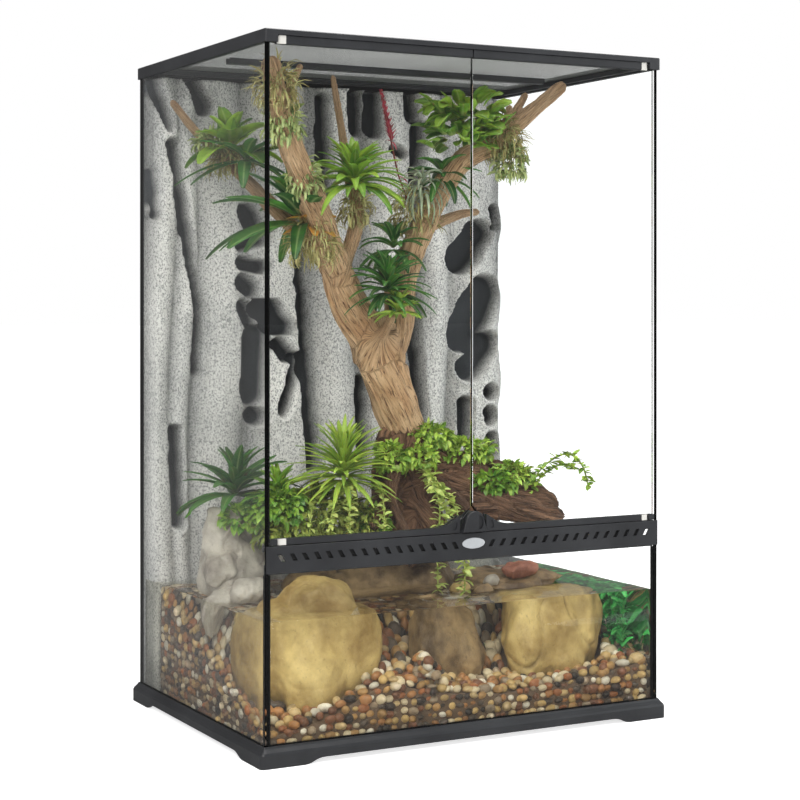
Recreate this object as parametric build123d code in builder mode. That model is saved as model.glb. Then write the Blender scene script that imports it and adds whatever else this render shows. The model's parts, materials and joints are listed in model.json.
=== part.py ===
from build123d import *
import os
from math import atan2, cos, degrees, hypot, radians, sin, sqrt

os.makedirs("parts", exist_ok=True)

# Sizes in millimetres. X runs along the front, Y to the back, Z up from the table.
# The origin is the middle of the footprint.

# Overall and glass
plinth_length = 604
plinth_depth = 454
total_height = 902
tank_length = 586.6
tank_depth = 436
pane = 5
slip = 0.3

# Plinth
plinth_height = 25.7
skirt_height = 16.3
plinth_corner = 6
plinth_wall = 3
shoulder_gap = 2
ledge_top = 18
ledge_width = 20
foot_length = 57
foot_blend = 30
foot_relief = 7
rib_pitch = 90
rib_wall = 2.5

# Front pane and vent rail
water_pane_top = 244
rail_bottom = 236.5
rail_top = 270
rail_wall = 2.5
rail_stand_off = 4
rail_depth = 16
rail_lip = 8
rail_leg = 10
cap_length = 4.2
slot_count = 16
slot_first = 27.5
slot_last = 272.5
slot_bottom = 251
slot_top = 260
slot_width = 6
slot_lean = 5
badge_length = 34
badge_height = 14
badge_middle = 256.7
badge_depth = 1.2
mesh_strip = 0.6

# Doors
door_glass = 4
door_gap = 0.8
door_side_gap = 1.8
door_rail_depth = 11
door_rail_height = 7.5
door_bottom = 271
top_seam = 895
top_rail_height = 10.1
seam = 0.5
glass_bite = 5
glass_fit = 0.1
wing_start = 44
wing_foot = 283
wing_height = 293.4
hinge_inset = 16.3
pin_radius = 2
pin_clearance = 0.05
lower_pin_length = 11
upper_pin_length = 5
pivot_length = 11.5

# Latch
lock_half_width = 18.3
lock_notch = 19.5
glass_corner_top = 304
lock_top = 298.5
lock_axis_height = 274
knob_half_width = 18
knob_thickness = 4.5
knob_below = 2.5
shaft_radius = 2.5
cam_reach = 24
cam_width = 6
cam_thickness = 2.5
cam_square = 3.4
catch_web = 2.5
catch_height = 6

# Top frame and lid
frame_length = 590.8
frame_depth = 447.2
frame_bottom = 886
frame_corner = 3
corner_length = 17.4
groove_wall = 2.2
pane_bite = 10.8
ledge_bottom = 888
lid_seat = 893.5
lid_opening_x = 277
ledge_front = -197
flange_front = 158
lid_half_length = 283.5
lid_front = -205.5
lid_back = 155.5
lid_rim = 9.5
mesh_sheet = 1
mesh_pitch_x = 36.3
mesh_pitch_y = 20.8
mesh_wire = 3
crossbar_length = 492
crossbar_width = 14
crossbar_height = 8
clip_length = 40
clip_width = 9
clip_height = 2.8
shutter_length = 60
shutter_width = 36
shutter_height = 2.2
shutter_travel = 55
inlet_length = 50
inlet_width = 23
inlet_middle_x = 240
inlet_middle_y = 191.5

# Planes worked out from the sizes above
half_length = tank_length / 2
half_depth = tank_depth / 2
inner_x = half_length - pane
inner_y = half_depth - pane
floor_top = ledge_top + pane
rail_front = -half_depth - rail_stand_off
rail_rear = rail_front + rail_depth
door_middle = -half_depth + 2.5
hinge_x = inner_x - hinge_inset
hinge_y = door_middle
door_outer_x = inner_x - door_side_gap
door_front = door_middle - door_rail_depth / 2
door_rear = door_middle + door_rail_depth / 2
pane_top = frame_bottom + pane_bite
glass_bottom = door_bottom + door_rail_height - glass_bite
door_top = top_seam - seam
glass_top = door_top - 2.5
top_rail_bottom = door_top - top_rail_height


def keep(part, label):
    # Names a finished piece and writes its file.
    part.label = label
    export_step(part, f"parts/{label}.step")
    return part


def block(low, high):
    # A plain block between two opposite corners, for use inside a part.
    size = [b - a for a, b in zip(low, high)]
    middle = [(a + b) / 2 for a, b in zip(low, high)]
    return Pos(*middle) * Box(*size, mode=Mode.PRIVATE)


# Plinth: a moulded ring with corner feet, a sloped shoulder and a ledge for the glass
shoulder_run = (plinth_length - tank_length) / 2 - shoulder_gap
shoulder_steps = [
    (skirt_height, 0),
    (skirt_height + 0.3 * (plinth_height - skirt_height), 0.2),
    (skirt_height + 0.75 * (plinth_height - skirt_height), 0.8),
    (plinth_height, 1),
]


def relief_curve(half_span):
    # The raised edge between two feet, with an S-shaped rise at each end.
    with BuildSketch(Plane.XZ) as outline:
        with BuildLine():
            for side in (-1, 1):
                start = side * half_span
                bend = side * (half_span - foot_blend / 2)
                end = side * (half_span - foot_blend)
                Bezier((start, 0), (bend, 0), (bend, foot_relief), (end, foot_relief))
            Line((-half_span + foot_blend, foot_relief), (half_span - foot_blend, foot_relief))
            Polyline((-half_span, 0), (-half_span, -1), (half_span, -1), (half_span, 0))
        make_face()
    return outline.sketch


with BuildPart() as base_plinth:
    with BuildSketch():
        RectangleRounded(plinth_length, plinth_depth, plinth_corner)
    extrude(amount=skirt_height)
    for height, share in shoulder_steps:
        inset = 2 * share * shoulder_run
        corner = plinth_corner - share * 4
        with BuildSketch(Plane.XY.offset(height)):
            RectangleRounded(plinth_length - inset, plinth_depth - inset, corner)
    loft(ruled=True)
    with BuildSketch(Plane.XY.offset(ledge_top)):
        Rectangle(tank_length + 2 * slip, tank_depth + 2 * slip)
    extrude(amount=plinth_height, mode=Mode.SUBTRACT)
    with BuildSketch():
        Rectangle(tank_length - 2 * ledge_width, tank_depth - 2 * ledge_width)
    extrude(amount=ledge_top, mode=Mode.SUBTRACT)
    with BuildSketch():
        RectangleRounded(plinth_length - 2 * plinth_wall, plinth_depth - 2 * plinth_wall, 3)
        rim_length = tank_length - 2 * ledge_width + 2 * plinth_wall
        rim_depth = tank_depth - 2 * ledge_width + 2 * plinth_wall
        Rectangle(rim_length, rim_depth, mode=Mode.SUBTRACT)
    extrude(amount=ledge_top - plinth_wall, mode=Mode.SUBTRACT)
    channel = ledge_width + (plinth_length - tank_length) / 2
    rib_height = ledge_top - plinth_wall
    rib_count = int(tank_length / 2 / rib_pitch)
    for side in (-1, 1):
        for step in range(-rib_count, rib_count + 1):
            with Locations((step * rib_pitch, side * (plinth_depth - channel) / 2, rib_height / 2 + 1)):
                Box(rib_wall, channel - 2, rib_height)
        for step in range(-2, 3):
            rib_y = step * rib_pitch / 1.2
            with Locations((side * (plinth_length - channel) / 2, rib_y, rib_height / 2 + 1)):
                Box(channel - 2, rib_wall, rib_height)
    front_curve = relief_curve(plinth_length / 2 - foot_length)
    extrude(front_curve, amount=plinth_depth, dir=(0, 1, 0), both=True, mode=Mode.SUBTRACT)
    side_curve = Rot(0, 0, 90) * relief_curve(plinth_depth / 2 - foot_length)
    extrude(side_curve, amount=plinth_length, dir=(1, 0, 0), both=True, mode=Mode.SUBTRACT)
keep(base_plinth.part, "base_plinth")

# Glass box: the side panes run the full depth and the others stand between them
with BuildPart() as bottom_pane:
    add(block((-inner_x, -inner_y, ledge_top), (inner_x, inner_y, floor_top)))
keep(bottom_pane.part, "bottom_pane")

with BuildPart() as left_pane:
    add(block((-half_length, -half_depth, ledge_top), (-inner_x, half_depth, pane_top - slip)))
    chamfer(left_pane.edges().filter_by(Axis.Z).group_by(Axis.X)[0], 0.5)
keep(left_pane.part, "left_pane")

with BuildPart() as right_pane:
    mirror(left_pane.part, about=Plane.YZ)
keep(right_pane.part, "right_pane")

with BuildPart() as back_pane:
    add(block((-inner_x, inner_y, ledge_top), (inner_x, half_depth, pane_top - slip)))
keep(back_pane.part, "back_pane")

with BuildPart() as front_pane:
    add(block((-inner_x, -half_depth, ledge_top), (inner_x, -inner_y, water_pane_top)))
keep(front_pane.part, "front_pane")

# Silicone: triangular beads along the bottom and up the corners
bead = 4


def bead_section(plane, length, corner):
    # One straight bead whose right angle sits in the corner of two panes.
    with BuildPart() as strip:
        with BuildSketch(plane):
            Polygon((0, 0), (corner[0], 0), (0, corner[1]), align=None)
        extrude(amount=length)
    return strip.part


with BuildPart() as silicone_seams:
    for side in (-1, 1):
        along_x = Plane(origin=(-inner_x, side * inner_y, floor_top), x_dir=(0, 1, 0), z_dir=(1, 0, 0))
        add(bead_section(along_x, 2 * inner_x, (-side * bead, bead)))
        along_y = Plane(origin=(side * inner_x, inner_y, floor_top), x_dir=(1, 0, 0), z_dir=(0, -1, 0))
        add(bead_section(along_y, 2 * inner_y, (-side * bead, bead)))
        back_corner = Plane(origin=(side * inner_x, inner_y, floor_top))
        add(bead_section(back_corner, frame_bottom - floor_top - 1, (-side * bead, -bead)))
        front_corner = Plane(origin=(side * inner_x, -inner_y, floor_top))
        add(bead_section(front_corner, water_pane_top - rail_leg - floor_top, (-side * bead, bead)))
keep(silicone_seams.part, "silicone_seams")

# Vent rail: one channel that grips the front pane and carries slots, sockets and lock
web_low = water_pane_top + slip
web_high = web_low + rail_wall
lip_y = -half_depth - 0.1
leg_front = -inner_y + slip
leg_rear = leg_front + rail_wall
slot_pitch = (slot_last - slot_first) / (slot_count - 1)
with BuildPart() as vent_rail:
    with BuildSketch(Plane.YZ.offset(-inner_x + slip)):
        Polygon(
            (rail_front, rail_bottom),
            (lip_y, rail_bottom),
            (lip_y, rail_bottom + rail_wall),
            (rail_front + rail_wall, rail_bottom + rail_wall),
            (rail_front + rail_wall, web_low),
            (leg_front, web_low),
            (leg_front, web_low - rail_leg),
            (leg_rear, web_low - rail_leg),
            (leg_rear, web_high),
            (rail_front + rail_wall, web_high),
            (rail_front + rail_wall, rail_top - rail_wall),
            (rail_rear - rail_wall, rail_top - rail_wall),
            (rail_rear - rail_wall, rail_top - rail_lip),
            (rail_rear, rail_top - rail_lip),
            (rail_rear, rail_top),
            (rail_front, rail_top),
            align=None,
        )
    extrude(amount=2 * (inner_x - slip))
    nose = vent_rail.edges().filter_by(Axis.X).group_by(Axis.Y)[0]
    fillet(nose, 1)
    with BuildSketch(Plane.XZ.offset(-rail_front - rail_wall - 0.5)):
        for side in (-1, 1):
            for step in range(slot_count):
                low_x = side * (slot_first + step * slot_pitch) - side * slot_width / 2
                with Locations((low_x, (slot_bottom + slot_top) / 2)):
                    half_rise = (slot_top - slot_bottom) / 2
                    Polygon(
                        (-side * slot_lean / 2, -half_rise),
                        (side * slot_width - side * slot_lean / 2, -half_rise),
                        (side * slot_width + side * slot_lean / 2, half_rise),
                        (side * slot_lean / 2, half_rise),
                        align=None,
                    )
    extrude(amount=rail_wall + 1, mode=Mode.SUBTRACT)
    with BuildSketch(Plane.XZ.offset(-rail_front)):
        with Locations((0, badge_middle)):
            Ellipse(badge_length / 2 + slip, badge_height / 2 + slip)
    extrude(amount=-badge_depth, mode=Mode.SUBTRACT)
    with Locations((-hinge_x, hinge_y, rail_top), (hinge_x, hinge_y, rail_top)):
        Hole(pin_radius + 0.6, depth=rail_wall + 1)
keep(vent_rail.part, "vent_rail")

with BuildPart() as badge_plate:
    with BuildSketch(Plane.XZ.offset(-rail_front - badge_depth)):
        with Locations((0, badge_middle)):
            Ellipse(badge_length / 2, badge_height / 2)
    extrude(amount=badge_depth)
    chamfer(badge_plate.edges().group_by(Axis.Y)[0], 0.4)
keep(badge_plate.part, "badge_plate")

with BuildPart() as vent_mesh:
    mesh_front = rail_front + rail_wall
    low = (-hinge_x + 8, mesh_front, web_high)
    high = (hinge_x - 8, mesh_front + mesh_strip, rail_top - rail_wall)
    add(block(low, high))
keep(vent_mesh.part, "vent_mesh")

with BuildPart() as left_rail_cap:
    cap_inner = -inner_x + slip
    add(block((cap_inner - cap_length, rail_front, rail_bottom), (cap_inner, lip_y, rail_top)))
    fillet(left_rail_cap.edges().filter_by(Axis.Z).group_by(Axis.Y)[0].sort_by(Axis.X)[0], 1.5)
keep(left_rail_cap.part, "left_rail_cap")

with BuildPart() as left_hinge_socket:
    low = (-hinge_x - 7, rail_front + rail_wall + mesh_strip + 0.2, rail_top - rail_wall - 9)
    high = (-hinge_x + 7, rail_rear - rail_wall, rail_top - rail_wall)
    add(block(low, high))
    with Locations((-hinge_x, hinge_y, rail_top - rail_wall)):
        Hole(pin_radius + pin_clearance, depth=9)
keep(left_hinge_socket.part, "left_hinge_socket")

# Left door: glass, two rails, two pivots and a catch, mirrored for the right door
glass_low_y = door_middle - door_glass / 2
glass_high_y = door_middle + door_glass / 2
pivot_start = -hinge_x - door_rail_depth / 2
pivot_end = pivot_start + pivot_length
insert_back = glass_low_y - glass_fit - 0.2
glass_corner_foot = -door_gap - (glass_corner_top - glass_bottom)

with BuildPart() as left_door_glass:
    with BuildSketch(Plane.XZ.offset(-glass_low_y)):
        Polygon(
            (-door_outer_x, glass_bottom),
            (glass_corner_foot, glass_bottom),
            (-door_gap, glass_corner_top),
            (-door_gap, glass_top),
            (-door_outer_x, glass_top),
            align=None,
        )
    extrude(amount=-door_glass)
    chamfer(left_door_glass.edges().filter_by(Axis.Z).group_by(Axis.X)[-1], 0.4)
keep(left_door_glass.part, "left_door_glass")


def glass_slot(low_z, high_z):
    # The space that a door's glass takes out of a rail, with its cut corner.
    low = (-door_outer_x - 1, glass_low_y - glass_fit, low_z)
    corner_low = glass_corner_foot + low_z - glass_bottom + 2 * glass_fit
    corner_high = glass_corner_foot + high_z - glass_bottom + 2 * glass_fit
    with BuildPart() as space:
        with BuildSketch(Plane.XZ.offset(-low[1])):
            Polygon(
                (low[0], low_z),
                (min(corner_low, 1), low_z),
                (min(corner_high, 1), high_z),
                (low[0], high_z),
                align=None,
            )
        extrude(amount=-door_glass - 2 * glass_fit)
    return space.part


with BuildPart() as left_door_bottom_rail:
    with BuildSketch(Plane.XZ.offset(-door_front)):
        rail_line = door_bottom + door_rail_height
        Polygon(
            (-door_outer_x, door_bottom),
            (-lock_notch, door_bottom),
            (-lock_notch, wing_height),
            (-wing_start + 6, wing_foot - 1),
            (-wing_start - 12, rail_line),
            (-door_outer_x, rail_line),
            align=None,
        )
    extrude(amount=-door_rail_depth)
    add(glass_slot(glass_bottom - glass_fit, wing_height + 1), mode=Mode.SUBTRACT)
    pivot_low = (pivot_start - 0.2, door_front, door_bottom)
    pivot_high = (pivot_end + 0.2, insert_back + 0.2, rail_line)
    add(block(pivot_low, pivot_high), mode=Mode.SUBTRACT)
    seat_high = (pivot_end + 0.2, glass_high_y + 0.4, glass_bottom)
    add(block(pivot_low, seat_high), mode=Mode.SUBTRACT)
    with BuildSketch(Plane.XZ.offset(-door_front)):
        with Locations((-lock_notch - 8, door_bottom + 9)):
            SlotOverall(11, 6, rotation=70)
    extrude(amount=-1.2, mode=Mode.SUBTRACT)
keep(left_door_bottom_rail.part, "left_door_bottom_rail")

with BuildPart() as left_door_top_rail:
    add(block((pivot_start, door_front, top_rail_bottom), (-door_gap, door_rear, door_top)))
    add(glass_slot(top_rail_bottom - 1, glass_top + glass_fit), mode=Mode.SUBTRACT)
    pivot_low = (pivot_start - 0.2, door_front, top_rail_bottom)
    add(block(pivot_low, (pivot_end + 0.2, insert_back + 0.2, door_top)), mode=Mode.SUBTRACT)
    seat_low = (pivot_start - 0.2, door_front, glass_top)
    add(block(seat_low, (pivot_end + 0.2, glass_high_y + 0.4, door_top)), mode=Mode.SUBTRACT)
    front_edge = left_door_top_rail.edges().filter_by(Axis.X).group_by(Axis.Z)[0].sort_by(Axis.Y)[0]
    chamfer(front_edge, 1.5)
keep(left_door_top_rail.part, "left_door_top_rail")


def pivot(face_low, face_high, plate_low, plate_high, pin_low, pin_high):
    # A nylon insert: a front block, a plate over the glass edge and a pin on the hinge line.
    with BuildPart() as insert:
        with BuildSketch(Plane.XY.offset(face_low)):
            with Locations((-hinge_x, hinge_y)):
                Circle(door_rail_depth / 2)
            with Locations(((-hinge_x + pivot_end) / 2, hinge_y)):
                Rectangle(pivot_end + hinge_x, door_rail_depth)
            with Locations((-hinge_x, insert_back + 20)):
                Rectangle(80, 40, mode=Mode.SUBTRACT)
        extrude(amount=face_high - face_low)
        with BuildSketch(Plane.XY.offset(plate_low)):
            with Locations((-hinge_x, hinge_y)):
                Circle(door_rail_depth / 2)
            with Locations(((-hinge_x + pivot_end) / 2, hinge_y)):
                Rectangle(pivot_end + hinge_x, door_rail_depth)
            with Locations((-hinge_x, glass_high_y + 0.2 + 20)):
                Rectangle(80, 40, mode=Mode.SUBTRACT)
        extrude(amount=plate_high - plate_low)
        with BuildSketch(Plane.XY.offset(pin_low)):
            with Locations((-hinge_x, hinge_y)):
                Circle(pin_radius)
        extrude(amount=pin_high - pin_low)
    return insert.part


lower_plate_top = glass_bottom - glass_fit
upper_plate_low = glass_top + glass_fit
left_lower_pivot = pivot(door_bottom, rail_line, door_bottom, lower_plate_top,
                         door_bottom - lower_pin_length, door_bottom + 1)
keep(left_lower_pivot, "left_lower_pivot")
left_upper_pivot = pivot(top_rail_bottom, door_top, upper_plate_low, door_top,
                         door_top - 1, top_seam + upper_pin_length)
keep(left_upper_pivot, "left_upper_pivot")

# Latch: housing on the rail, bell-shaped knob in front, cam behind, a catch on each door
housing_front = door_front + 2
housing_rear = door_rear + 2.5
boss_radius = 6
knob_back = rail_front - 0.4
knob_front = knob_back - knob_thickness
cam_front = rail_rear + 0.8
cam_rear = cam_front + cam_thickness
catch_start = lock_notch + 0.5
catch_web_start = cam_reach + 1
catch_rear = cam_rear + 1 + catch_web


def bell(half_width, low_z, high_z, shoulder):
    # The bell outline of the latch, seen from the front.
    with BuildSketch(Plane.XZ) as outline:
        with BuildLine():
            left_end = (-shoulder, high_z - 9)
            right_end = (shoulder, high_z - 9)
            Polyline(left_end, (-half_width, low_z), (half_width, low_z), right_end)
            ThreePointArc(right_end, (0, high_z), left_end)
        make_face()
    return outline.sketch


with BuildPart() as lock_housing:
    housing_face = Pos(0, housing_front, 0) * bell(lock_half_width, rail_top, lock_top - 1, 13.5)
    extrude(housing_face, amount=housing_rear - housing_front, dir=(0, 1, 0))
    with BuildSketch(Plane.XZ.offset(-housing_front)):
        with Locations((0, lock_axis_height + 2)):
            Circle(boss_radius)
    extrude(amount=housing_front - rail_front)
    with Locations(Plane.XZ.offset(-rail_front)):
        with Locations((0, lock_axis_height)):
            Hole(shaft_radius + pin_clearance, depth=30)
keep(lock_housing.part, "lock_housing")

with BuildPart() as latch_knob:
    knob_face = Pos(0, knob_back, 0) * bell(knob_half_width, lock_axis_height - knob_below, lock_top, 12.5)
    extrude(knob_face, amount=knob_thickness, dir=(0, -1, 0))
    chamfer(latch_knob.edges().group_by(Axis.Y)[0], 0.8)
    with BuildSketch(Plane.XZ.offset(-knob_front)):
        with Locations((7, lock_axis_height + 10)):
            Ellipse(5, 9)
        with Locations((7 - 10, lock_axis_height + 10)):
            Rectangle(16, 30, mode=Mode.SUBTRACT)
    extrude(amount=-2.5, mode=Mode.SUBTRACT)
    with BuildSketch(Plane.XZ.offset(-knob_back)):
        with Locations((0, lock_axis_height)):
            Circle(shaft_radius)
    extrude(amount=-(cam_front - knob_back - 0.2))
    with BuildSketch(Plane.XZ.offset(-cam_front + 0.5)):
        with Locations((0, lock_axis_height)):
            Rectangle(cam_square, cam_square)
    extrude(amount=-(cam_thickness + 0.5))
keep(latch_knob.part, "latch_knob")

with BuildPart() as latch_cam:
    with BuildSketch(Plane.XZ.offset(-cam_front)):
        with Locations((0, lock_axis_height)):
            SlotOverall(2 * cam_reach, cam_width, rotation=90)
            Rectangle(cam_square, cam_square, mode=Mode.SUBTRACT)
    extrude(amount=-cam_thickness)
keep(latch_cam.part, "latch_cam")

with BuildPart() as left_door_catch:
    low_z = lock_axis_height - catch_height / 2
    low = (-catch_web_start - catch_web, door_rear, low_z + 0.5)
    add(block(low, (-catch_web_start, catch_rear, low_z + catch_height + 0.5)))
    low = (-catch_web_start - catch_web, catch_rear - catch_web, low_z + 0.5)
    add(block(low, (-catch_start, catch_rear, low_z + catch_height + 0.5)))
keep(left_door_catch.part, "left_door_catch")

# Top frame: a moulded rim over the panes with a lid seat, a rear flange and two cable inlets
groove_low_x = inner_x - slip
groove_high_x = half_length + slip
groove_low_y = inner_y - slip
groove_high_y = half_depth + slip
inner_wall_x = groove_low_x - groove_wall
inner_wall_y = groove_low_y - groove_wall
corner_x = frame_length / 2 - corner_length
skin_back = -half_depth - 1.5
band_back = lid_front - 0.5
stop_front = band_back - rail_wall
pocket_radius = hypot(door_outer_x - hinge_x, door_rail_depth / 2) + 1
clip_floor = total_height - clip_height - 0.3
shutter_floor = total_height - shutter_height - 0.3
shutter_slot = shutter_width + 0.6
bore_depth = upper_pin_length + 0.5
with BuildPart() as top_frame:
    with BuildSketch(Plane.XY.offset(frame_bottom)):
        RectangleRounded(frame_length, frame_depth, frame_corner)
    extrude(amount=total_height - frame_bottom)
    chamfer(top_frame.faces().sort_by(Axis.Z)[-1].edges(), 1)
    wide_low = (-inner_wall_x, skin_back, frame_bottom)
    add(block(wide_low, (inner_wall_x, inner_wall_y, ledge_bottom)), mode=Mode.SUBTRACT)
    lid_hole = (-lid_opening_x, ledge_front, ledge_bottom)
    add(block(lid_hole, (lid_opening_x, flange_front, lid_seat)), mode=Mode.SUBTRACT)
    seat_low = (-lid_half_length - slip, band_back, lid_seat)
    add(block(seat_low, (lid_half_length + slip, lid_back + 0.5, total_height)), mode=Mode.SUBTRACT)
    front_low = (-corner_x, -frame_depth / 2, frame_bottom)
    add(block(front_low, (corner_x, stop_front, top_seam)), mode=Mode.SUBTRACT)
    behind_low = (-groove_low_x, skin_back, frame_bottom)
    add(block(behind_low, (groove_low_x, stop_front, top_seam)), mode=Mode.SUBTRACT)
    for side in (-1, 1):
        with BuildSketch(Plane.XY.offset(frame_bottom)):
            with Locations((side * hinge_x, hinge_y)):
                Circle(pocket_radius)
            with Locations((side * hinge_x, skin_back - 20)):
                Rectangle(80, 40, mode=Mode.SUBTRACT)
            with Locations((side * (groove_low_x + 20), hinge_y)):
                Rectangle(40, 80, mode=Mode.SUBTRACT)
        extrude(amount=top_seam - frame_bottom, mode=Mode.SUBTRACT)
        groove_x = side * (groove_low_x + groove_high_x) / 2
        with Locations((groove_x, 0, (frame_bottom + pane_top) / 2)):
            Box(groove_high_x - groove_low_x, 2 * groove_high_y, pane_bite, mode=Mode.SUBTRACT)
        with Locations((side * (lid_half_length + slip + clip_width / 2 + 0.7), 0, clip_floor + 5)):
            Box(clip_width + 1.8, clip_length + 0.6, 10, mode=Mode.SUBTRACT)
        slot_low_x = inlet_middle_x - shutter_length / 2 - shutter_travel
        slot_length = shutter_length + shutter_travel + 0.6
        with Locations((side * (slot_low_x - 0.3 + slot_length / 2), inlet_middle_y, shutter_floor + 5)):
            Box(slot_length, shutter_slot, 10, mode=Mode.SUBTRACT)
        hollow_low = (side * 3, flange_front + 3, ledge_bottom)
        hollow_high = (side * (inner_wall_x - 3), inner_wall_y - 1, shutter_floor - 3)
        low = [min(a, b) for a, b in zip(hollow_low, hollow_high)]
        high = [max(a, b) for a, b in zip(hollow_low, hollow_high)]
        add(block(low, high), mode=Mode.SUBTRACT)
        with Locations((side * inlet_middle_x, inlet_middle_y, (ledge_bottom + shutter_floor) / 2)):
            Box(inlet_length + 5, inlet_width + 5, shutter_floor - ledge_bottom)
            Box(inlet_length, inlet_width, 40, mode=Mode.SUBTRACT)
    back_low = (-groove_high_x, groove_low_y, frame_bottom)
    add(block(back_low, (groove_high_x, groove_high_y, pane_top)), mode=Mode.SUBTRACT)
    with Locations((-hinge_x, hinge_y, top_seam), (hinge_x, hinge_y, top_seam)):
        with Locations((0, 0, bore_depth / 2)):
            Cylinder(pin_radius + pin_clearance, bore_depth, mode=Mode.SUBTRACT)
keep(top_frame.part, "top_frame")

# Lid: a frame in the seat, a screen under it and a crossbar under the screen
lid_top = clip_floor - 0.2
lid_bottom = lid_seat + 0.2
with BuildPart() as lid_frame:
    add(block((-lid_half_length, lid_front, lid_bottom), (lid_half_length, lid_back, lid_top)))
    chamfer(lid_frame.faces().sort_by(Axis.Z)[-1].edges(), 0.8)
    hole_low = (-lid_half_length + lid_rim, lid_front + lid_rim, lid_bottom)
    hole_high = (lid_half_length - lid_rim, lid_back - lid_rim, lid_top)
    add(block(hole_low, hole_high), mode=Mode.SUBTRACT)
    rebate_low = (-lid_half_length + lid_rim / 2, lid_front + lid_rim / 2, lid_bottom)
    rebate_high = (lid_half_length - lid_rim / 2, lid_back - lid_rim / 2, lid_bottom + mesh_sheet + 0.2)
    add(block(rebate_low, rebate_high), mode=Mode.SUBTRACT)
keep(lid_frame.part, "lid_frame")

sheet_length = 2 * lid_half_length - lid_rim - 1
sheet_depth = lid_back - lid_front - lid_rim - 1
sheet_middle = (lid_back + lid_front) / 2
holes_x = int((2 * (lid_half_length - lid_rim) - mesh_wire) / mesh_pitch_x)
holes_y = int((lid_back - lid_front - 2 * lid_rim - mesh_wire) / mesh_pitch_y)
with BuildPart() as lid_mesh:
    with BuildSketch(Plane.XY.offset(lid_bottom + 0.2)):
        with Locations((0, sheet_middle)):
            Rectangle(sheet_length, sheet_depth)
            with GridLocations(mesh_pitch_x, mesh_pitch_y, holes_x, holes_y):
                Rectangle(mesh_pitch_x - mesh_wire, mesh_pitch_y - mesh_wire, mode=Mode.SUBTRACT)
    extrude(amount=mesh_sheet)
keep(lid_mesh.part, "lid_mesh")

with BuildPart() as lid_crossbar:
    with BuildSketch(Plane.YZ.offset(-crossbar_length / 2)):
        with Locations((0, lid_bottom + 0.2 - crossbar_height / 2)):
            Rectangle(crossbar_width, crossbar_height)
            with Locations((0, 1)):
                Rectangle(crossbar_width - 4, crossbar_height - 2, mode=Mode.SUBTRACT)
    extrude(amount=crossbar_length)
    chamfer(lid_crossbar.edges().filter_by(Axis.X).group_by(Axis.Z)[0], 1)
keep(lid_crossbar.part, "lid_crossbar")

with BuildPart() as left_lid_clip:
    rest_x = lid_half_length + slip + 0.5
    low = (-rest_x - clip_width, -clip_length / 2, total_height - 0.1 - clip_height)
    add(block(low, (-rest_x, clip_length / 2, total_height - 0.1)))
    with BuildSketch(Plane.XY.offset(total_height - 0.1)):
        with Locations((-rest_x - clip_width / 2, 0)):
            with GridLocations(1, 5, 1, 5):
                Rectangle(clip_width - 3, 1.5)
    extrude(amount=-0.8, mode=Mode.SUBTRACT)
keep(left_lid_clip.part, "left_lid_clip")

with BuildPart() as left_inlet_shutter:
    with BuildSketch(Plane.XY.offset(shutter_floor + 0.1)):
        with Locations((-inlet_middle_x, inlet_middle_y)):
            RectangleRounded(shutter_length, shutter_width, 2)
    extrude(amount=shutter_height)
    with BuildSketch(Plane.XY.offset(shutter_floor + 0.1 + shutter_height)):
        with Locations((-inlet_middle_x, inlet_middle_y)):
            with GridLocations(4, 1, 4, 1):
                Rectangle(1.6, shutter_width - 14)
    extrude(amount=-0.8, mode=Mode.SUBTRACT)
keep(left_inlet_shutter.part, "left_inlet_shutter")

# The right-hand pieces are the mirror image of the left-hand ones
left_hand = {
    "rail_cap": left_rail_cap.part,
    "hinge_socket": left_hinge_socket.part,
    "door_glass": left_door_glass.part,
    "door_bottom_rail": left_door_bottom_rail.part,
    "door_top_rail": left_door_top_rail.part,
    "lower_pivot": left_lower_pivot,
    "upper_pivot": left_upper_pivot,
    "door_catch": left_door_catch.part,
    "lid_clip": left_lid_clip.part,
    "inlet_shutter": left_inlet_shutter.part,
}
for name, piece in left_hand.items():
    with BuildPart() as twin:
        mirror(piece, about=Plane.YZ)
    keep(twin.part, f"right_{name}")

# Interior sizes
panel_back = inner_y - 0.2
panel_valley = panel_back - 18
panel_rib_depth = 36
panel_top = frame_bottom - 2
panel_sway = 9
panel_notch = 12.5
panel_notch_top = 178
cavity_floor = 11
gravel_back = 152
limb_step = 34
stem_step = 20
trunk_base = 388
leaf_thickness = 1.6
rib_places = [(-275, 17), (-240, 13), (-187, 34), (-106, 52), (0, 40), (78, 42), (163, 30), (242, 52)]

# Background: a foam panel with swaying upright ribs and deep slots


def panel_face(x, z):
    # How far forward the panel's face stands at one place.
    rise = 0
    for middle, half_width in rib_places:
        offset = (x - middle - panel_sway * sin(z / 120 + middle / 55)) / half_width
        if abs(offset) < 1:
            rise = max(rise, cos(radians(90 * offset)) ** 0.8)
    return panel_valley - panel_rib_depth * rise


def groove(width, *points):
    # A rounded slot along the given points, drawn in the open sketch.
    for start, end in zip(points, points[1:]):
        run = Vector(*end) - Vector(*start)
        lean = degrees(atan2(run.Y, run.X))
        with Locations(((start[0] + end[0]) / 2, (start[1] + end[1]) / 2)):
            SlotCenterToCenter(run.length, width, rotation=lean)


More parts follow.
